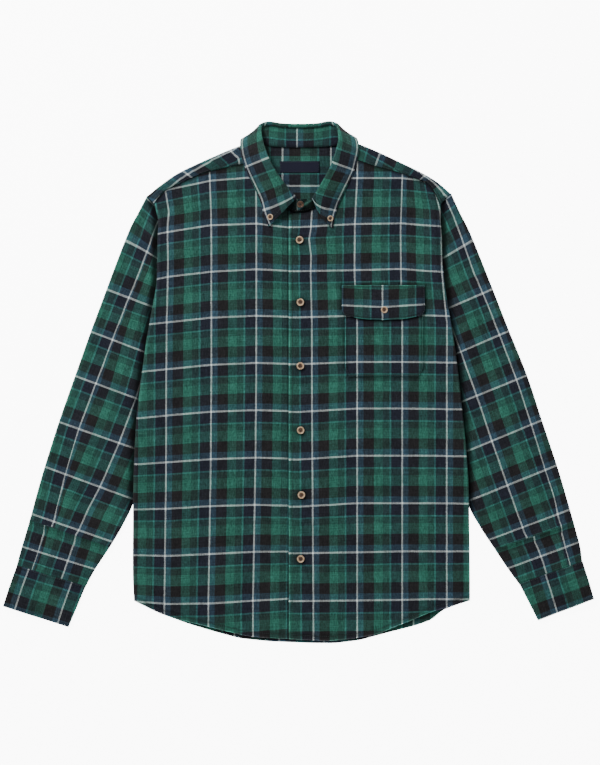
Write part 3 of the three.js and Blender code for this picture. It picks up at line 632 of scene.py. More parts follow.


# %% [markdown]
# ## Where the plaid lies
# Cloth bends its own stripes, and the photograph shows how: on each front the level white lines sag
# towards the sides. The tables below hold the height of each white line at a few places across,
# charted one by one, and where the upright ones stand. Counting from one line to the next gives the map.

# %% Charts of the fronts
LEVEL_X = {"right": (-246, -200, -136, -65, -15), "left": (0, 90, 160, 200, 262)}
LEVELS = {  # heights of the white lines from the shoulder down, at those places
    "right": [(284, 298, 311.5, 317, 317), (223, 232.5, 242.5, 245, 239), (153.5, 163, 170.5, 174.5, 172),
              (87.5, 92.5, 99.5, 102.5, 101), (15.5, 20, 26.5, 29.5, 28), (-56, -51.5, -46, -43.5, -45),
              (-127, -124, -119.5, -117, -118.5), (-197, -196, -192, -190, -191.5),
              (-268, -269, -266, -262.5, -262.5), (-340, -343.5, -342.5, -338, -335.5)],
    "left": [(315, 315.5, 315.5, 311, 302), (239.5, 244.5, 245.5, 242, 238), (171.5, 173, 175, 171.5, 168),
             (100, 102.5, 103, 103, 101), (27.5, 31, 31, 30.5, 29.5), (-46.5, -41, -41, -41.5, -42.5),
             (-120, -114, -114, -114, -115), (-193, -187.5, -187.5, -187.5, -188),
             (-265, -263.5, -262, -262, -262), (-339, -338, -337, -336, -336)]}
UPRIGHT_Y = (320, 264, 237, 221, 195, 170, 90, 0, -140, -340)
UPRIGHTS = {  # places of the white upright stripes, at those heights
    "right": [(-273, -273, -273, -273, -273, -273, -273, -273, -273, -275),
              (-210, -200.7, -202.6, -202.6, -202, -202, -203.8, -204.5, -205, -207.5),
              (-137.5, -135.5, -135, -135, -134.9, -134.9, -134.9, -134.9, -136, -139.5),
              (-66, -65.4, -65.3, -65.3, -65.3, -65.3, -65.3, -65.5, -67, -70.5),
              (4, 4, 4, 4, 4, 4, 4, 4, 3, 0)],
    "left": [(-49, -49, -49, -49, -49, -49, -49, -49, -49, -49),
             (22, 20.6, 19.2, 16.2, 19.4, 18.8, 20.6, 20.6, 21.5, 23),
             (91, 88, 87, 87, 86.6, 86.5, 90.7, 90.7, 90.7, 90.7),
             (161, 159, 158, 158, 158.3, 158.5, 160.4, 160.4, 160.4, 160.4),
             (204, 219, 220.6, 220.8, 221, 221.5, 229.2, 229.2, 229.2, 229.2),
             (274, 289, 290, 290, 291, 291, 299, 299, 299, 299)]}


def count_between(lines, value):
    """How many lines have been passed: lines has one row of values for each line, in falling order."""
    lines = np.array(lines)
    count = np.zeros_like(value)
    number_of_lines = len(lines)
    for number in range(number_of_lines - 1):
        step = (lines[number] - value) / (lines[number] - lines[number + 1])
        low = -np.inf if number == 0 else 0
        high = np.inf if number == number_of_lines - 2 else 1
        count = np.where((step >= low) & (step < high), number + step, count)
    return count


def chart_front(side, x, y):
    levels = [np.interp(x, LEVEL_X[side], row) for row in LEVELS[side]]
    heights = UPRIGHT_Y[::-1]
    uprights = [-np.interp(y, heights, row[::-1]) for row in UPRIGHTS[side]]
    return together(count_between(uprights, -x), count_between(levels, y))


# %% [markdown]
# ## The back
# The back is one sheet on the table, a little longer than the fronts. It is lifted where a sleeve is
# tucked under it.

# %% Back
def side_to_side(top_y, bottom_of, columns, rows, left_of, right_of):
    """A grid of flat places between two sides, from a top line down to a hem."""
    s, t = np.meshgrid(columns, rows)
    x = mix(left_of(0), right_of(0), s)
    y = t
    for _ in range(3):
        top = top_y(x) if callable(top_y) else top_y
        y = mix(top, bottom_of(x), t)
        x = mix(left_of(y), right_of(y), s)
    return x, y


back_x, back_y = side_to_side(BACK_SEAM_Y - SEAM, hem_back, shares(500, 7), shares(670, 7),
                              side_line["right"], side_line["left"])
back_z = lift_at(back_x, back_y) + CLOTH + 0.9 * np.clip(ridges(BODY_RIDGES, -back_x, back_y), 0, 1)
back_points = together(back_x, back_y, back_z)
back_chart = together((back_x + 30) / REPEAT_ACROSS, (246 - back_y) / REPEAT_DOWN)
over_hem = back_y - hem_back(back_x)
# Painted light: a painted highlight along the back's hem edge, and painted shade in a line 6 mm above it.
back_painted_shade_and_light_edges = 0.9 * line_at(over_hem, 0, 1.5) - 0.2 * line_at(over_hem, 6, 1.3)
back_cloth = sheet_of("back_cloth", back_points, back_chart, CLOTH, painted_shade_and_light_edges=back_painted_shade_and_light_edges)
finish_piece(back_cloth, flannel, ["back"])
# Painted shade: the back's upper faces, seen inside the shirt, take the darker copy of the flannel.
paint_shade_on_inside(back_cloth)

# %% [markdown]
# ## The fronts
# The left front laps over the right one and ends in a folded edge. Each front curls down at the side
# into a soft fold, drops a little at its seams, and is thicker at the hem, where it is turned up.

# %% Outlines of the pocket and its flap, which press on the front
POCKET = {"left": 72.1, "right": 193, "top": 139.5, "bottom": 8.5, "cut_x": 7.5, "cut_y": 14}
FLAP = {"left": 67.1, "right": 195.1, "top": 149.6, "side": 103.5, "middle": 95.6}


def pocket_bottom(x):
    over = np.minimum(x - POCKET["left"], POCKET["right"] - x)
    return POCKET["bottom"] + POCKET["cut_y"] * np.clip(1 - over / POCKET["cut_x"], 0, 1) ** 1.3


def flap_bottom(x):
    part = np.abs((x - FLAP["left"]) / (FLAP["right"] - FLAP["left"]) - 0.5) * 2
    corner = smooth(0.92, 1.04, part) * 9
    return mix(FLAP["middle"], FLAP["side"], part) + corner - 2.2 * np.sin(part * math.pi) ** 2


def inside_patch(outline, low, x, y):
    """How far a point lies inside a patch, below zero outside it."""
    return np.minimum(np.minimum(x - outline["left"], outline["right"] - x),
                      np.minimum(outline["top"] - y, y - low))


def pocket_edge(x, y):
    return inside_patch(POCKET, pocket_bottom(x), x, y)


def flap_edge(x, y):
    return inside_patch(FLAP, flap_bottom(x), x, y)


# %% Fronts
def curl_down(depth, radius):
    """How far up the round of a fold a point has come, from 0 at the edge to 1."""
    return np.sqrt(1 - (1 - np.clip(depth / radius, 0, 1)) ** 2)


def edge_drop(distance, size=0.55, width=1.6):
    return size * (1 - curl_down(distance, width))


FINE_ENDS = (0, 0.5, 1.2, 2.2, 3.4, 4.6, 5.5, 6.4, 7.6)  # mm from an edge: rows for its turned hem


def make_front(side):
    edge_x = RIGHT_EDGE_X if side == "right" else LEFT_EDGE_X
    edge = lambda y: np.full_like(np.asarray(y, float), edge_x)
    side_edge = side_line[side]
    left_of, right_of = (side_edge, edge) if side == "right" else (edge, side_edge)
    columns = shares(250, 3.6, FINE_ENDS)
    if side == "right":  # finer where the other front's edge lies on it
        columns = np.unique(np.concatenate([columns, np.linspace(0.835, 0.885, 15)]))
    rows = shares(640, 4.0, FINE_ENDS)
    x, y = side_to_side(seam_line[side], hem_front, columns, rows, left_of, right_of)
    depth, over_hem, under_seam = inside(side, x, y), y - hem_front(x), seam_line[side](x) - y
    under = lift_at(x, y) + CLOTH + SEAM
    top = front_top(side, x, y)
    top = top + 0.35 * smooth(9, 6, over_hem)
    top = top - edge_drop(over_hem) - edge_drop(np.abs(x - edge_x)) - edge_drop(under_seam, 1.1, 3.0)
    top = top + pucker(under_seam, x, 0.1) + pucker(depth, y, 0.1) * smooth(80, 110, y)
    for button_x, button_y in FRONT_BUTTONS:
        near = line_at(x, button_x, 7.0) * line_at(y, button_y, 7.0)
        pull = line_at(x, button_x, 3.0) * line_at(y, button_y, 30.0)
        top = top - 0.9 * near - 0.25 * pull
    z = mix(under, top, curl_down(depth, 3.2))
    points = together(x, y, z)
    # Painted light: lighter along the hem edge and the folded placket edge, as painted highlights, and along
    # the side folds; painted shade beside the hem and placket stitching, under the yoke seam, near the
    # armhole, beside the left front's edge on the right one, and round the pocket and the flap.
    painted_shade_and_light_edges = 0.7 * line_at(over_hem, 0, 1.1) - 0.25 * line_at(over_hem, 7, 1.3)
    painted_shade_and_light_edges = painted_shade_and_light_edges - 0.45 * line_at(under_seam, 0, 3.2) + 0.15 * line_at(depth, 2.5, 2.0)
    painted_shade_and_light_edges = painted_shade_and_light_edges - 0.12 * line_at(depth, 7, 1.5) * smooth(95, 110, y)
    if side == "left":
        painted_shade_and_light_edges = painted_shade_and_light_edges + 0.45 * line_at(x, -14.6, 1.2) - 0.2 * line_at(x, -9.5, 1.0)
        for rim in (pocket_edge(x, y), flap_edge(x, y)):
            painted_shade_and_light_edges = painted_shade_and_light_edges - 0.3 * line_at(rim, -1.2, 2.4)
    else:
        painted_shade_and_light_edges = painted_shade_and_light_edges - 0.3 * line_at(x, -16.4, 1.2)
    # Painted shadow round each button.
    for button_x, button_y in FRONT_BUTTONS:
        painted_shade_and_light_edges = painted_shade_and_light_edges - 0.45 * line_at(x, button_x, 8.0) * line_at(y, button_y - 1, 8.0)
    cloth = sheet_of(f"front_{side}_cloth", points, chart_front(side, x, y), CLOTH, painted_shade_and_light_edges=painted_shade_and_light_edges)
    armhole = beside(points, "left" if side == "right" else "right", 7)
    seams = [beside(points, "bottom", 7), armhole[armhole[:, 1] > UNDERARM_Y + 6]]
    if side == "left":
        seams.append(beside(points, "left", 5.5))
    sew(f"front_{side}_stitches", seams)
    return finish_piece(cloth, flannel, [f"front_{side}"])


front_right_cloth = make_front("right")
front_left_cloth = make_front("left")

# %% [markdown]
# ## The yoke
# The yoke is the doubled piece over both shoulders. It runs from the back seam round each shoulder
# fold to the front seam, and inside the collar it shows as the flat stretch below the neckline.

# %% Shoulder wraps
def section_points(corners, count):
    """Even steps along a bent line in space."""
    corners = np.array(corners, float)
    run = run_along(corners)
    at = np.linspace(0, run[-1], count)
    return together(*[np.interp(at, run, column) for column in corners.T]), at


def wrap_section(fold_x, fold_y, seam_x, seam_y):
    back = np.array([seam_x, BACK_SEAM_Y + SEAM])
    fold, front = np.array([fold_x, fold_y]), np.array([seam_x, seam_y])
    up = (fold - front) / np.linalg.norm(fold - front)
    out = fold - back
    out = up if np.linalg.norm(out) < 14 else out / np.linalg.norm(out)
    reach = 4.0
    corners = [(*back, 0), (*(fold - reach * out), 0)]
    for k in range(13):
        angle = math.pi * k / 12 - math.pi / 2
        direction = out * (1 - k / 12) + up * (k / 12)
        direction = direction / np.linalg.norm(direction)
        spot = fold - reach * direction + direction * reach * math.cos(angle)
        corners.append((*spot, YOKE_TOP / 2 * (1 + math.sin(angle))))
    edge = front + up * SEAM
    level = float(on_front(edge[0], edge[1])) + 0.5
    middle = fold + (edge - fold) * 0.5
    corners.append((*middle, mix(YOKE_TOP, level, 0.35) + 0.3))
    for back_from_edge, height in ((5.5, 0.05), (4.3, -0.2), (1.2, 0.15), (0, -0.6)):  # the stitched edge
        corners.append((*(edge + up * back_from_edge), level + height))
    return section_points(corners, count=64)


YOKE_STRIPES = {  # first cross stripe, spacing and slant; how far the lengthwise one lies from the fold
    "right": (67, 80, 9, [0, 26, 58, 92, 131, 162], [16, 14.5, 11.7, 8.2, 5, 3]),
    "left": (48.5, 78.5, 0, [0, 26, 55, 75, 120, 170], [10, 7, 3, 0, -6, -10])}


def make_wrap(side):
    points, chart = [], []
    table = between(SHOULDER[side], np.linspace(0, len(SHOULDER[side]) - 1, 56))
    first, spacing, slant, *inward = YOKE_STRIPES[side]
    direction = 1 if side == "right" else -1
    for along, row in zip(run_along(table[:, :2]), table):
        section, at = wrap_section(*row)
        points.append(section)
        fold_at = at[np.argmax(section[:, 1])]
        across_count = direction * (along - first - slant * np.clip(at - fold_at, 0, 20) / 15) / spacing
        down_count = (at - fold_at - np.interp(along, *inward)) / REPEAT_DOWN
        chart.append(together(across_count, down_count))
    points, chart = np.array(points), np.array(chart)
    if side == "left":
        points, chart = points[::-1], chart[::-1]
    return points.transpose(1, 0, 2), chart.transpose(1, 0, 2)


wraps, seams = [], []
for side in ("right", "left"):
    points, chart = make_wrap(side)
    from_edge = np.array([run_along(column) for column in points[::-1].transpose(1, 0, 2)]).T[::-1]
    # Painted light: a lighter line along the stitched edge, and painted shade beside the stitching.
    painted_shade_and_light_edges = 0.3 * line_at(from_edge, 0, 1.0) - 0.2 * line_at(from_edge, 2.6, 1.0)
    wraps.append(sheet_of(f"yoke_wrap_{side}", points, chart, CLOTH, painted_shade_and_light_edges=painted_shade_and_light_edges))
    seams.append(beside(points, "bottom", 2.0))

# %% The stretch below the neckline, and the three joined
neck_x = np.linspace(-79, 83, 42)
neck_line = np.interp(neck_x, (-79, -67, -52, 0, 54, 70, 83), (375.5, 373.5, 369, 368, 369, 373.5, 376))
column, t = np.meshgrid(np.arange(len(neck_x)), shares(88, 4))
middle_x = neck_x[column]
middle_y = mix(neck_line[column], BACK_SEAM_Y - 3, t)
middle_z = CLOTH + 0.2 * np.sin(middle_x / 21.0) * np.sin(middle_y / 13.0)
at_corner = smooth(-62, -76, middle_x) + smooth(66, 80, middle_x)
middle_z = middle_z + 4.2 * at_corner * smooth(350, 366, middle_y)
middle_chart = together((middle_x + 24.8) / 75.0, (middle_y - 303.8) / REPEAT_DOWN)
yoke_cloth = sheet_of("yoke_cloth", together(middle_x, middle_y, middle_z), middle_chart, CLOTH)
pick(*wraps, yoke_cloth)
bpy.ops.object.join()
finish_piece(yoke_cloth, flannel, ["yoke"])
sew("yoke_stitches", seams)

# %% [markdown]
# ## The sleeves
# Each sleeve is a tube pressed flat, with a fold on both sides. Near the body it dips under it, and
# above the cuff it is gathered in one deep tuck, where the stripes jump because cloth is hidden in it.

# %% Sleeve tables: where the white stripes lie
CROSS_COUNT = {"right": [-1, 0, 1, 2, 3, 4, 5, 6, 7, 7.12, 7.42, 8, 8.6],
               "left": [-1, 0, 1, 2, 3, 4, 5, 6, 7, 7.26, 7.54, 8, 8.6]}
CROSS_AT = {  # rows of the sleeve table where those counts fall, on its outer and inner fold
    "right": ([-0.9, 0.18, 2.41, 3.72, 4.99, 6.0, 7.0, 8.02, 9.82, 10.04, 10.06, 10.96, 12.1],
              [-0.6, 0.32, 2.22, 3.78, 5.05, 6.02, 7.0, 8.03, 9.86, 10.06, 10.08, 10.98, 12.1]),
    "left": ([-1.2, 0.15, 2.25, 3.67, 5.0, 6.0, 7.0, 8.0, 9.58, 10.02, 10.06, 10.84, 12.1],
             [-1.0, 0.04, 2.21, 3.63, 4.94, 5.93, 6.97, 7.97, 9.61, 10.02, 10.06, 11.05, 12.1])}
LENGTHWISE_ROW = [0, 1, 2, 3, 4, 5, 6, 7, 8, 9, 10.04, 10.06, 11, 12]
LENGTHWISE = {  # distance of the first and of the second white stripe from the outer fold, at those rows
    "right": ([33, 35.3, 39.8, 39, 37.5, 36.7, 35.4, 33.5, 35.2, 36.8, 37.3, 26.5, 27.6, 24.8],
              [93, 93, 95, 94, 93.4, 96.4, 101.4, 99.2, 92, 83.2, 76.8, 76.8, 74.9, 71.9]),
    "left": ([11.9, 12.3, 16.1, 18.6, 17.3, 16.8, 19, 18.4, 20.7, 19.8, 22.1, 22.2, 23.9, 19.5],
             [78, 78, 80, 82, 81.3, 82.5, 85.4, 84.6, 83.5, 81.2, 77.7, 67.2, 63.1, 57.7])}
TUCK_ROW = 10.05
ROUND_OF_FOLD = 1.5  # how much longer the way round the fold is than its width
CUFF_RISE = 2.8  # the button under a cuff, and the gap between them


def sleeve_top(side, x, y):
    """Low where the sleeve meets the body, and lowest where it goes in under it."""
    free = -inside(side, x, y)
    above = smooth(UNDERARM_Y - 6, UNDERARM_Y + 40, y)
    at_edge = mix(TUCKED_TOP - 0.3, FRONT_TOP - 2.2, above)
    return mix(at_edge, SLEEVE_TOP, smooth(mix(5, 2.5, above), mix(17, 11, above), free))


def raised(share):
    """The button below lifts the outer side of the cuff, and the end of the sleeve with it."""
    return CUFF_RISE * smooth(0.72, 0.34, share)


# %% One sleeve
def make_sleeve(side):
    stations = np.unique(np.concatenate([np.linspace(0, 9.3, 120), np.linspace(9.3, 12, 70), [10.04, 10.06]]))
    table = between(SLEEVE[side], stations)
    ring_points, ring_chart, ring_painted_shade_and_light_edges = [], [], []
    outer_marks, inner_marks = CROSS_AT[side]
    bend, over_fold = np.radians(np.linspace(0, 90, 7)), np.radians(np.linspace(-90, 90, 13))
    for row, (outer_x, outer_y, inner_x, inner_y) in zip(stations, table):
        width = math.hypot(inner_x - outer_x, inner_y - outer_y)
        # High up the sleeve ends at the armhole seam; near the underarm it goes in under the body.
        trial = np.linspace(0, 1, 400)
        trial_x, trial_y = mix(outer_x, inner_x, trial), mix(outer_y, inner_y, trial)
        depth = inside(side, trial_x, trial_y)
        tucked = np.maximum((UNDERARM_Y + 26 - trial_y) * 0.5, (UNDERARM_Y - trial_y) * 1.2)
        over = np.nonzero(depth > 0.15 + np.maximum(tucked, 0))[0]
        reach = max(width * (trial[over[0]] if len(over) else 1.0), 2.0)
        radius = min(2.8, reach / 2.2)
        flat = np.linspace(radius, reach - radius, 34)[1:-1]
        # From the inner fold below, out to the outer fold, over it and back on top.
        inner_round = reach - radius + radius * np.cos(bend)
        across = np.concatenate([inner_round, flat[::-1], radius - radius * np.cos(over_fold), flat,
                                 inner_round[::-1]])
        level = np.concatenate([-np.sin(bend), np.full_like(flat, -1), np.sin(over_fold),
                                np.full_like(flat, 1), np.sin(bend[::-1])])
        x, y = mix(outer_x, inner_x, across / width), mix(outer_y, inner_y, across / width)
        free = -inside(side, x, y)
        # The gathered tuck stands up, with a hollow below it, and at the cuff the tube is pressed flatter.
        bump = 2.3 * line_at(row, TUCK_ROW, 0.13) - 0.9 * line_at(row, TUCK_ROW + 0.28, 0.12)
        relief = ridges(SLEEVE_RIDGES, x, y) + unevenness(x, y, 0.2) + bump
        top = (sleeve_top(side, x, y) + relief * smooth(0, 14, free)) * (1 - 0.3 * smooth(11.82, 11.9, row))
        z = top / 2 * (1 + level) + 0.35 * (1 + np.sin(x / 17 + y / 29)) * (level < -0.99)
        z = z + smooth(10.3, 12, row) * raised(across / width)
        ring_points.append(together(x, y, z))
        run = run_along(ring_points[-1])
        run = run - run[len(bend) + len(flat) + len(over_fold) // 2]
        first, second = (float(np.interp(row, LENGTHWISE_ROW, marks)) for marks in LENGTHWISE[side])
        direction = 1 if side == "right" else -1
        hidden = REPEAT_ACROSS - (second - first)
        from_first = run - ROUND_OF_FOLD - first
        from_first = from_first + hidden * smooth(1.5, 5.5, from_first)
        lengthwise = direction * from_first / REPEAT_ACROSS
        part = np.clip(across / width, 0, 1)
        outer_count = np.interp(row, outer_marks, CROSS_COUNT[side])
        inner_count = np.interp(row, inner_marks, CROSS_COUNT[side])
        crosswise = mix(outer_count, inner_count, part)
        ring_chart.append(together(lengthwise, crosswise))
        # Painted light: a lighter line along the folds, and painted shade on the upper layer where it meets
        # the body, at the tuck and just above the cuff.
        above_cuff = smooth(11.72, 11.85, row) + 0.6 * line_at(row, TUCK_ROW + 0.05, 0.05)
        dark = (0.6 * smooth(11, 3, free) + 0.3 * above_cuff) * (level > 0.5)
        ring_painted_shade_and_light_edges.append(0.12 * line_at(level, 0.2, 0.5) - dark)
    points, chart, painted_shade_and_light_edges = np.array(ring_points), np.array(ring_chart), np.array(ring_painted_shade_and_light_edges)
    if side == "left":
        points, chart, painted_shade_and_light_edges = points[:, ::-1], chart[:, ::-1], painted_shade_and_light_edges[:, ::-1]
    cloth = sheet_of(f"sleeve_{side}_cloth", points, chart, CLOTH, tube=True, painted_shade_and_light_edges=painted_shade_and_light_edges)
    return finish_piece(cloth, flannel, [f"sleeve_{side}"])


sleeve_right_cloth = make_sleeve("right")
sleeve_left_cloth = make_sleeve("left")

# %% [markdown]
# ## The cuffs
# A cuff is a doubled band with an edge seam all round. Its ends lap underneath, over the button.

# %% Cuffs
CUFF_CHART = {"right": (19.5, -1, 6.0), "left": (61, 1, 8.5)}  # white stripe, way of counting, cloth above
CUFF_STEP = 33  # mm from one row of the cuff table to the next
CUFF_START, CUFF_END = -0.13, 2  # in rows: the cuff starts a little above its table, over the sleeve


def cuff_section(width):
    top, under = 5.8, DOUBLE + SEAM
    corners = [(2.6, 0.4), (4.0, 0), (width * 0.35, 0), (width * 0.7, 0)]
    for k in range(9):
        angle = math.radians(-90 + 22.5 * k)
        corners.append((width - 2.9 + 2.9 * math.cos(angle), 2.9 * (1 + math.sin(angle))))
    corners += [(width * 0.66, top), (width * 0.33, top)]
    short = (top - under) / 2
    for k in range(9):
        angle = math.radians(90 - 22.5 * k)
        corners.append((short - short * math.cos(angle), under + short * (1 + math.sin(angle))))
    corners.append((24, under))
    return section_points(corners, count=150)[0].T


def make_cuff(side):
    rows = CUFF_END * shares(CUFF_END * CUFF_STEP, 3.2)
    at_start = [CUFF_START, CUFF_START + 0.015, CUFF_START + 0.04, -0.05, 0.02]
    rows = np.concatenate([at_start, rows[rows > 0.03]])
    first_step = np.array(CUFF[side][1]) - np.array(CUFF[side][0])
    table = between(CUFF[side], np.maximum(rows, 0)) + np.minimum(rows, 0)[:, None] * first_step
    first, direction, above = CUFF_CHART[side]
    points, chart, painted_shade_and_light_edges = [], [], []
    for row, (outer_x, outer_y, inner_x, inner_y) in zip(rows, table):
        width = math.hypot(inner_x - outer_x, inner_y - outer_y)
        across, z = cuff_section(width)
        from_start, from_end = (row - CUFF_START) * CUFF_STEP, (CUFF_END - row) * CUFF_STEP
        pinch = edge_drop(from_start, 0.5) + edge_drop(from_end, 0.5)
        stitched = 0.3 * (line_at(from_start, 5.5, 1.3) + line_at(from_end, 5.5, 1.3))
        upper = z > 3
        z = z - upper * (pinch + stitched * 0.6) + (z < 0.9) * pinch
        x, y = mix(outer_x, inner_x, across / width), mix(outer_y, inner_y, across / width)
        z = z + raised(across / width) + upper * 0.15 * np.sin(across / 8.0 + 2 * row)
        points.append(together(x, y, z))
        crosswise = (above + row * CUFF_STEP) / REPEAT_DOWN
        lengthwise = direction * (np.where(upper, across, -across) - first) / REPEAT_ACROSS
        chart.append(together(lengthwise, np.full_like(z, crosswise)))
        # Painted light: the cuff's ends are lighter, and painted shade lies beside their seams.
        tone_shift = 0.3 * (line_at(from_start, 0, 1.0) + line_at(from_end, 0, 1.0))
        shade_beside_seams = 0.2 * (line_at(from_start, 2, 0.8) + line_at(from_end, 6, 1.0))
        painted_shade_and_light_edges.append(np.full_like(z, tone_shift - shade_beside_seams))
    points, chart, painted_shade_and_light_edges = np.array(points), np.array(chart), np.array(painted_shade_and_light_edges)
    if side == "right":
        points, chart, painted_shade_and_light_edges = points[:, ::-1], chart[:, ::-1], painted_shade_and_light_edges[:, ::-1]
    cloth = sheet_of(f"cuff_{side}_cloth", points, chart, DOUBLE, painted_shade_and_light_edges=painted_shade_and_light_edges)
    sew(f"cuff_{side}_stitches", [beside(points, "top", 2), beside(points, "bottom", 6)])
    return finish_piece(cloth, flannel, [f"cuff_{side}"])


cuff_right_cloth = make_cuff("right")
cuff_left_cloth = make_cuff("left")

# %% [markdown]
# ## The collar
# The stand rises from the neckline and the leaf folds over it and comes down to its two points. Both
# follow one table of stations round the neck: the foot of the stand, the fold, and the leaf's edge.

# %% Collar table: foot, roll and edge, each x, y, z
COLLAR = [
    (-6, 264, 6, -3.5, 283, 13, -46.2, 239.6, 7), (-22.5, 272.6, 6, -14, 294, 15.5, -53.4, 257.5, 7),
    (-40, 286.6, 6, -25, 306.5, 17.5, -59, 279, 7), (-54, 304, 6, -35.3, 321, 18.5, -68, 299, 7),
    (-64, 322, 6, -45.4, 338.5, 19, -78, 320.5, 7), (-71.5, 340, 6.6, -52.8, 356.5, 18.5, -86, 341, 7.6),
    (-76, 356, 7, -57.6, 373.5, 17, -90, 360, 8), (-78, 370, 6.2, -59.6, 388, 13, -89, 376, 6.4),
    (-68.5, 372, 4.2, -58, 397, 7.6, -76.5, 376, 1.4), (-52, 366, 3.1, -46, 400.7, 3.9, -53, 369, 0.2),
    (-26, 363.6, 2.8, -25, 398, 3, -26, 366, 0.1), (2, 363, 2.7, 2, 397.2, 2.9, 2, 365.5, 0.05),
    (30, 363.6, 2.8, 29, 398.2, 3, 30, 366, 0.1), (58, 366, 3.1, 48, 401.3, 3.9, 57, 369, 0.2),
    (73.5, 373, 4.2, 59.5, 397.5, 7.6, 79, 377.5, 1.4), (82, 371, 6.2, 62.6, 388, 13, 90, 377.8, 6.4),
    (80, 356, 7, 63.4, 373, 17, 93.8, 362, 8), (76, 340, 6.6, 59.3, 354.5, 18.5, 91.2, 345, 7.6),
    (68.5, 322, 6, 53.3, 336, 19, 85.4, 324, 7), (58.5, 304.5, 6, 45.2, 319, 18.5, 76.5, 304.5, 7),
    (46.5, 288, 6.2, 35.8, 302.8, 17.5, 66.5, 284, 7.2), (32.6, 275, 6.2, 27, 289, 15.5, 58, 262.5, 7.2),
    (19, 267.4, 6.2, 21, 280.5, 13, 53, 237, 7.2)]
STAND_LOWER = [(14, 267.5, 4.4, 12.5, 283, 7.6, 0, 0, 0)]
STAND_UPPER = [(5, 264, 6.2, 6.5, 280.6, 11.6, 0, 0, 0), (-9, 263.4, 6.2, -7, 279.6, 11, 0, 0, 0)]
COLLAR_END = len(COLLAR) - 1
ROLL = DOUBLE + 0.55 + DOUBLE / 2  # how far the leaf's middle layer lies from the top of the stand


def collar_frame(table, row):
    here = between(table, row)[0]
    ahead = between(table, min(row + 0.1, len(table) - 1))[0]
    behind = between(table, max(row - 0.1, 0))[0]
    foot, roll = here[:3], here[3:6]
    up = (roll - foot) / np.linalg.norm(roll - foot)
    along = ahead[3:6] - behind[3:6]
    along = along - up * along.dot(up)
    away = np.cross(up, along / np.linalg.norm(along))
    return here, foot, roll, up, away / np.linalg.norm(away)


# %% The leaf
# Rows of the table where the cross stripes fall, and their count, on the leaf's edge and on its fold.
LEAF_EDGE_COUNT = ([0, 1.4, 4.55, 8.4, 13.6, 17.85, 20.9, 22], [1.29, 1, 0, -1, -2, -3, -4, -4.38])
LEAF_ROLL_COUNT = ([0, 0.2, 4.2, 8.6, 13.4, 18, 22], [1.05, 1, 0, -1, -2, -3, -3.94])


def make_leaf():
    points, chart, painted_shade_and_light_edges = [], [], []
    for row in np.linspace(0, COLLAR_END, 190):
        rows_from_end = min(row, COLLAR_END - row)
        here, _, roll, up, away = collar_frame(COLLAR, row)
        edge = here[6:9]
        a, b = (edge - roll).dot(up), (edge - roll).dot(away)
        leave = math.atan2(b, a) - math.acos(min(ROLL / math.hypot(a, b), 1))
        on_roll = lambda angle: roll + up * ROLL * math.cos(angle) + away * ROLL * math.sin(angle)
        corners = [on_roll(-math.pi / 2) - up * 4]
        corners += [on_roll(mix(-math.pi / 2, leave, k / 12)) for k in range(13)]
        past_roll, last = len(corners), corners[-1]
        length = np.linalg.norm(edge - last)
        for part in np.concatenate([np.linspace(0, 1, 16)[1:-1], [1 - 1.2 / length, 1 - 0.5 / length, 1]]):
            arch = (0.9 + 1.7 * float(smooth(3, 0, rows_from_end))) * math.sin(math.pi * part)
            bow = 4.0 * math.sin(math.pi * part) * float(smooth(20.7, COLLAR_END, row))
            drop = float(edge_drop((1 - part) * length, 0.5))
            corners.append(mix(last, edge, part) + np.array([-0.81 * bow, -0.59 * bow, arch - drop]))
        section = np.array(corners)
        section[past_roll:, 2] -= float(edge_drop(rows_from_end * 16.0, 0.5))
        section[:, 2] = np.maximum(section[:, 2], 0.05)
        points.append(section)
        run = run_along(section)
        from_edge = run[-1] - run
        part = from_edge / run[-1]
        crosswise = mix(np.interp(row, *LEAF_EDGE_COUNT), np.interp(row, *LEAF_ROLL_COUNT), part)
        chart.append(together((from_edge - 4.2) / REPEAT_ACROSS, crosswise))
        # Painted light: lighter along the leaf's edges, and painted shade beside its stitching.
        from_end = rows_from_end * 20.0
        tone_shift = 0.3 * (line_at(from_edge, 0, 1.0) + line_at(from_end, 0, 1.0))
        painted_shade_and_light_edges.append(tone_shift - 0.2 * (line_at(from_edge, 6, 1.0) + line_at(from_end, 6, 1.4)))
    points, chart, painted_shade_and_light_edges = np.array(points), np.array(chart), np.array(painted_shade_and_light_edges)
    cloth = sheet_of("collar_leaf_cloth", points, chart, DOUBLE, painted_shade_and_light_edges=painted_shade_and_light_edges)
    outer = points[:, 10:]  # without the hidden turn over the stand
    sew("collar_leaf_stitches", [beside(outer, "right", 6, 6), beside(outer, "top", 6, 6),
                                 beside(outer, "bottom", 6, 6)])
    return finish_piece(cloth, flannel, ["collar_leaf"])


collar_leaf_cloth = make_leaf()

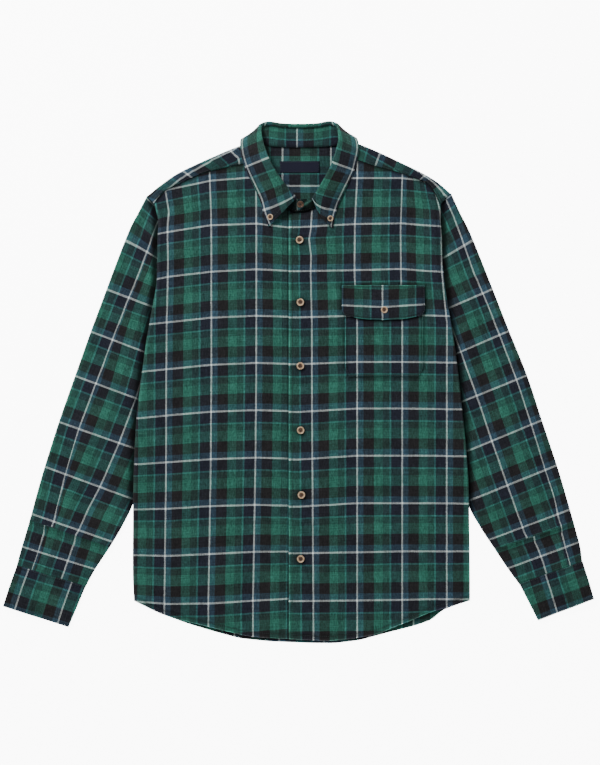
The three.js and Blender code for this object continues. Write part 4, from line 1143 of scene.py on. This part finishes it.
# %% The stand
def make_stand():
    table = STAND_LOWER + COLLAR + STAND_UPPER
    points, chart, painted_shade_and_light_edges = [], [], []
    for row in np.linspace(0, len(table) - 1, 200):
        _, foot, roll, up, away = collar_frame(table, row)
        high = np.linalg.norm(roll - foot)
        section = []
        for part in shares(30, 3.0, (0, 0.4, 1.0, 1.8)):
            round_off = float(edge_drop((1 - part) * high, 0.4))
            section.append(foot + (roll - foot) * part + away * (DOUBLE / 2 - round_off))
        section = np.array(section)
        points.append(section)
        down = (1 - (section - foot).dot(up) / high) * high
        chart.append(together((section[:, 0] + 2.3) / REPEAT_ACROSS, (41.4 - down) / REPEAT_DOWN))
        # Painted highlight: a light band across the upper end stands for its turned edge catching the light
        # between the two leaves; painted shade darkens the stand at its foot and at its front ends under the
        # leaves.
        painted_fold_highlight = line_at((section[:, 1] - 266.6) * 0.81 - (section[:, 0] + 0.8) * 0.59, 0, 2.0)
        painted_fold_highlight = painted_fold_highlight * smooth(-3, 1, section[:, 0]) * smooth(285, 281, section[:, 1])
        dark = 0.35 * line_at(high - down, 0, 2.5) + 0.55 * smooth(292, 278, section[:, 1])
        painted_shade_and_light_edges.append(0.95 * painted_fold_highlight - dark)
    points, chart, painted_shade_and_light_edges = np.array(points), np.array(chart), np.array(painted_shade_and_light_edges)
    cloth = sheet_of("collar_stand_cloth", points[:, ::-1], chart[:, ::-1], DOUBLE - 0.2, painted_shade_and_light_edges=painted_shade_and_light_edges[:, ::-1])
    sew("collar_stand_stitches", [beside(points, "left", 1.6)])
    return finish_piece(cloth, flannel, ["collar_stand"])


collar_stand_cloth = make_stand()

# %% [markdown]
# ## Pocket and flap
# A patch pocket with cut corners, matched to the stripes of the front, and over its mouth a flap
# cut from another place in the cloth, so its stripes do not match.

# %% Pocket
def patch(name, outline, bottom_of, base, chart_of, stitched, lifted=0):
    ends = (0, 0.4, 1.0, 1.6, 2.2, 3.0)
    left, right, top = outline["left"], outline["right"], outline["top"]
    height = top - float(bottom_of((left + right) / 2))
    s, t = np.meshgrid(shares(right - left, 2.6, ends), shares(height, 2.2, ends))
    x = mix(left, right, s)
    low = bottom_of(x)
    y = mix(top, low, t)
    edge = inside_patch(outline, low, x, y)
    z = base(x, y) + SEAM + CLOTH - edge_drop(edge, 0.6, 1.4) - 0.25 * line_at(edge, 2.2, 0.9)
    z = z + lifted * smooth(24, 2, y - low)
    points = together(x, y, z)
    # Painted light: lighter along the edges, painted shade beside the stitching, and on the pocket a painted
    # shadow under the flap.
    painted_shade_and_light_edges = 0.3 * line_at(edge, 0, 0.9) - 0.25 * line_at(edge, 2.3, 0.9)
    if not lifted:
        painted_shade_and_light_edges = painted_shade_and_light_edges - 0.35 * smooth(-5, -2, flap_edge(x, y))
    sew(name.replace("cloth", "stitches"), [beside(points, edge, 2.2) for edge in stitched])
    return sheet_of(name, points, chart_of(x, y), CLOTH, painted_shade_and_light_edges=painted_shade_and_light_edges)


def chart_flap(x, y):
    line = np.interp(x, (67, 130, 195), (118.6, 115.8, 120))
    return together((x - 129.7) / REPEAT_ACROSS, (line - y) / REPEAT_DOWN)


pocket_cloth = patch("pocket_cloth", POCKET, pocket_bottom, on_front,
                     lambda x, y: chart_front("left", x, y), ("left", "right", "bottom"))
finish_piece(pocket_cloth, flannel, ["pocket"])

# %% Flap
flap_cloth = patch("pocket_flap_cloth", FLAP, flap_bottom, lambda x, y: on_front(x, y) + SEAM + CLOTH,
                   chart_flap, ("left", "right", "bottom", "top"), lifted=1.2)
finish_piece(flap_cloth, flannel, ["pocket_flap"])

# %% [markdown]
# ## The neck label
# A woven navy tape, left blank, sewn flat inside the neck.

# %% Label
def tape_material():
    finish = plain_material("navy_tape", (0.018, 0.02, 0.05), 0.75)
    tree = finish.node_tree
    tree.nodes["Principled BSDF"].inputs["Specular IOR Level"].default_value = 0.1
    place = node(tree, "ShaderNodeTexCoord")
    ribs = node(tree, "ShaderNodeTexWave", wave_type="BANDS", bands_direction="X")
    ribs.inputs["Scale"].default_value = 350
    ribs.inputs["Distortion"].default_value = 0.6
    tree.links.new(place.outputs["Object"], ribs.inputs["Vector"])
    add_relief(tree, ribs.outputs["Fac"], 0.4, 0.0002)
    two_tone(tree, ribs.outputs["Fac"], (0, 1), ((0.006, 0.0065, 0.015), (0.011, 0.012, 0.024)))
    return finish


label_x, label_y = np.meshgrid(np.linspace(-28.7, 32.6, 30), np.linspace(341.8, 324, 12))
label_z = CLOTH + SEAM + 0.6 + 0.12 * np.sin(label_x / 5.0)
label_z = label_z + 0.2 * np.sin(label_x / 21.0) * np.sin(label_y / 13.0)
label_points = together(label_x, label_y, label_z)
label_chart = together(label_x / 70, label_y / 70)
label = sheet_of("neck_label_tape", label_points, label_chart, 0.5)
finish_piece(label, tape_material(), ["neck_label"])
sew("neck_label_stitches", [beside(label_points, edge, 1.2) for edge in ("top", "bottom", "left", "right")])

# %% [markdown]
# ## Buttons
# A four-hole horn button: a turned disc with a raised rim, a sunk middle and thread through the
# holes. One recipe makes them all, each at its own size, and each is laid flat on the cloth under it.

# %% Horn and thread
def horn_material(name, dark, light):
    finish = plain_material(name, light, 0.38)
    tree = finish.node_tree
    place = node(tree, "ShaderNodeTexCoord")
    two_tone(tree, noise(tree, place.outputs["Object"], 260, 4), (0.35, 0.7), (dark, light))
    return finish


horn_rim = horn_material("horn_rim", (0.26, 0.16, 0.09), (0.56, 0.42, 0.27))
horn_middle = horn_material("horn_middle", (0.035, 0.016, 0.008), (0.13, 0.065, 0.033))
# A darker copy of the horn: painted shade for the stand button, which lies in the shadow between the leaves.
horn_painted_shade = horn_material("horn_painted_shade_in_the_neck", (0.03, 0.014, 0.008), (0.10, 0.055, 0.03))
thread = plain_material("dark_thread", (0.02, 0.016, 0.014), 0.8)


# %% One button
BUTTON_THICKNESS = 2.4
MIDDLE_SHARE = 0.31  # radius of the dark middle, as a share of the diameter
HOLE_SHARE = 0.13  # how far the holes lie from the centre, the same way


def button_mesh(name, diameter):
    alone()
    bpy.ops.mesh.primitive_cylinder_add(vertices=40, radius=diameter / 2 * MM, depth=BUTTON_THICKNESS * MM,
                                        location=(0, 0, BUTTON_THICKNESS / 2 * MM))
    piece = bpy.context.active_object
    piece.name = piece.data.name = name
    bpy.ops.object.transform_apply(location=True, rotation=False, scale=False)
    bpy.ops.object.mode_set(mode="EDIT")
    bpy.ops.mesh.select_all(action="DESELECT")
    bpy.ops.mesh.select_mode(type="FACE")
    bpy.ops.object.mode_set(mode="OBJECT")
    for face in piece.data.polygons:
        face.select = face.normal.z > 0.9
    bpy.ops.object.mode_set(mode="EDIT")
    for rim_share in (0.06, 0.09, 0.05):
        bpy.ops.mesh.inset(thickness=diameter * rim_share * MM)
    bpy.ops.transform.translate(value=(0, 0, -BUTTON_THICKNESS * 0.38 * MM))
    bpy.ops.mesh.inset(thickness=diameter * 0.1 * MM)
    bpy.ops.object.mode_set(mode="OBJECT")
    rounding = piece.modifiers.new("rounding", "BEVEL")
    rounding.width = diameter * 0.03 * MM
    rounding.segments = 3
    rounding.limit_method = "ANGLE"
    bpy.ops.object.modifier_apply(modifier=rounding.name)
    for k in range(4):
        angle, out = math.pi / 4 * (2 * k + 1), diameter * HOLE_SHARE * MM
        alone()
        bpy.ops.mesh.primitive_cylinder_add(vertices=12, radius=diameter * 0.055 * MM, depth=0.01,
                                            location=(out * math.cos(angle), out * math.sin(angle), 0.001))
        drill = bpy.context.active_object
        hole = piece.modifiers.new("hole", "BOOLEAN")
        hole.object = drill
        hole.solver = "EXACT"
        pick(piece)
        bpy.ops.object.modifier_apply(modifier=hole.name)
        bpy.data.objects.remove(drill)
    return piece


def thread_mesh(name, diameter):
    """Two bars of thread over the holes and down through them."""
    alone()
    made, height = [], BUTTON_THICKNESS * 0.58 * MM
    for turn in (1, -1):
        bpy.ops.mesh.primitive_torus_add(
            major_segments=18, minor_segments=6, major_radius=diameter * HOLE_SHARE * MM,
            minor_radius=diameter * 0.032 * MM, location=(0, 0, height),
            rotation=(math.pi / 2, 0, turn * math.pi / 4))
        made.append(bpy.context.active_object)
    pick(*made[::-1])
    bpy.ops.object.join()
    piece = bpy.context.active_object
    piece.name = piece.data.name = name
    bpy.ops.object.transform_apply(location=True, rotation=True, scale=True)
    spots = np.empty(len(piece.data.vertices) * 3)
    piece.data.vertices.foreach_get("co", spots)
    spots = spots.reshape(-1, 3)
    spots[:, 2] = height + (spots[:, 2] - height) * 0.55
    piece.data.vertices.foreach_set("co", spots.ravel())
    return piece


BUTTONS = [(f"button_front_{number + 1}", *place, 11.4) for number, place in enumerate(FRONT_BUTTONS)]
BUTTONS += [("button_flap", 132.5, 111.6, 10.4), ("button_collar_right", -43.4, 255, 9),
            ("button_collar_left", 48.8, 252.7, 9), ("button_stand", 3.1, 274.5, 10.4)]


# %% Lay them out
def lay_button(name, x, y, diameter):
    model, loops = button_mesh(name + "_horn", diameter), thread_mesh(name + "_thread", diameter)
    twist = math.radians(17 * (len(name) % 5) + 9)
    spots = np.array([vertex.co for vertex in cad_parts[name].data.vertices])
    middle = (spots.min(0) + spots.max(0)) / 2
    centred = spots - spots.mean(0)
    values, vectors = np.linalg.eigh(centred.T @ centred)
    normal = vectors[:, 0] * np.sign(vectors[2, 0] or 1)
    if name.startswith("button_cuff"):
        normal = -normal
    side = np.cross(normal, (math.sin(twist), math.cos(twist), 0))
    side /= np.linalg.norm(side)
    turn = np.stack([side, np.cross(normal, side), normal], axis=1)
    base = middle - normal * BUTTON_THICKNESS / 2 * MM
    if name.startswith("button_front") or name == "button_flap":
        layers = 2 * (SEAM + CLOTH) + 0.4 if name == "button_flap" else 0
        base[2] = (float(on_front(x, y)) + layers + SEAM * 0.4) * MM
    # The stand button takes the darker horn, as painted shade.
    rim = horn_painted_shade if name == "button_stand" else horn_rim
    reach = np.array([math.hypot(face.center.x, face.center.y) for face in model.data.polygons])
    for piece, material, replaced in ((model, rim, [name]), (loops, thread, ())):
        co = np.array([vertex.co for vertex in piece.data.vertices]) @ turn.T + base
        piece.data.vertices.foreach_set("co", co.ravel())
        pick(piece)
        bpy.ops.object.shade_smooth_by_angle(angle=math.radians(35))
        finish_piece(piece, material, replaced)
    model.data.materials.append(horn_middle)
    for face, out in zip(model.data.polygons, reach):
        face.material_index = int(out < diameter * MIDDLE_SHARE * MM)


for entry in BUTTONS:
    lay_button(*entry)
for side in ("right", "left"):
    lay_button(f"button_cuff_{side}", 0, 0, 10)
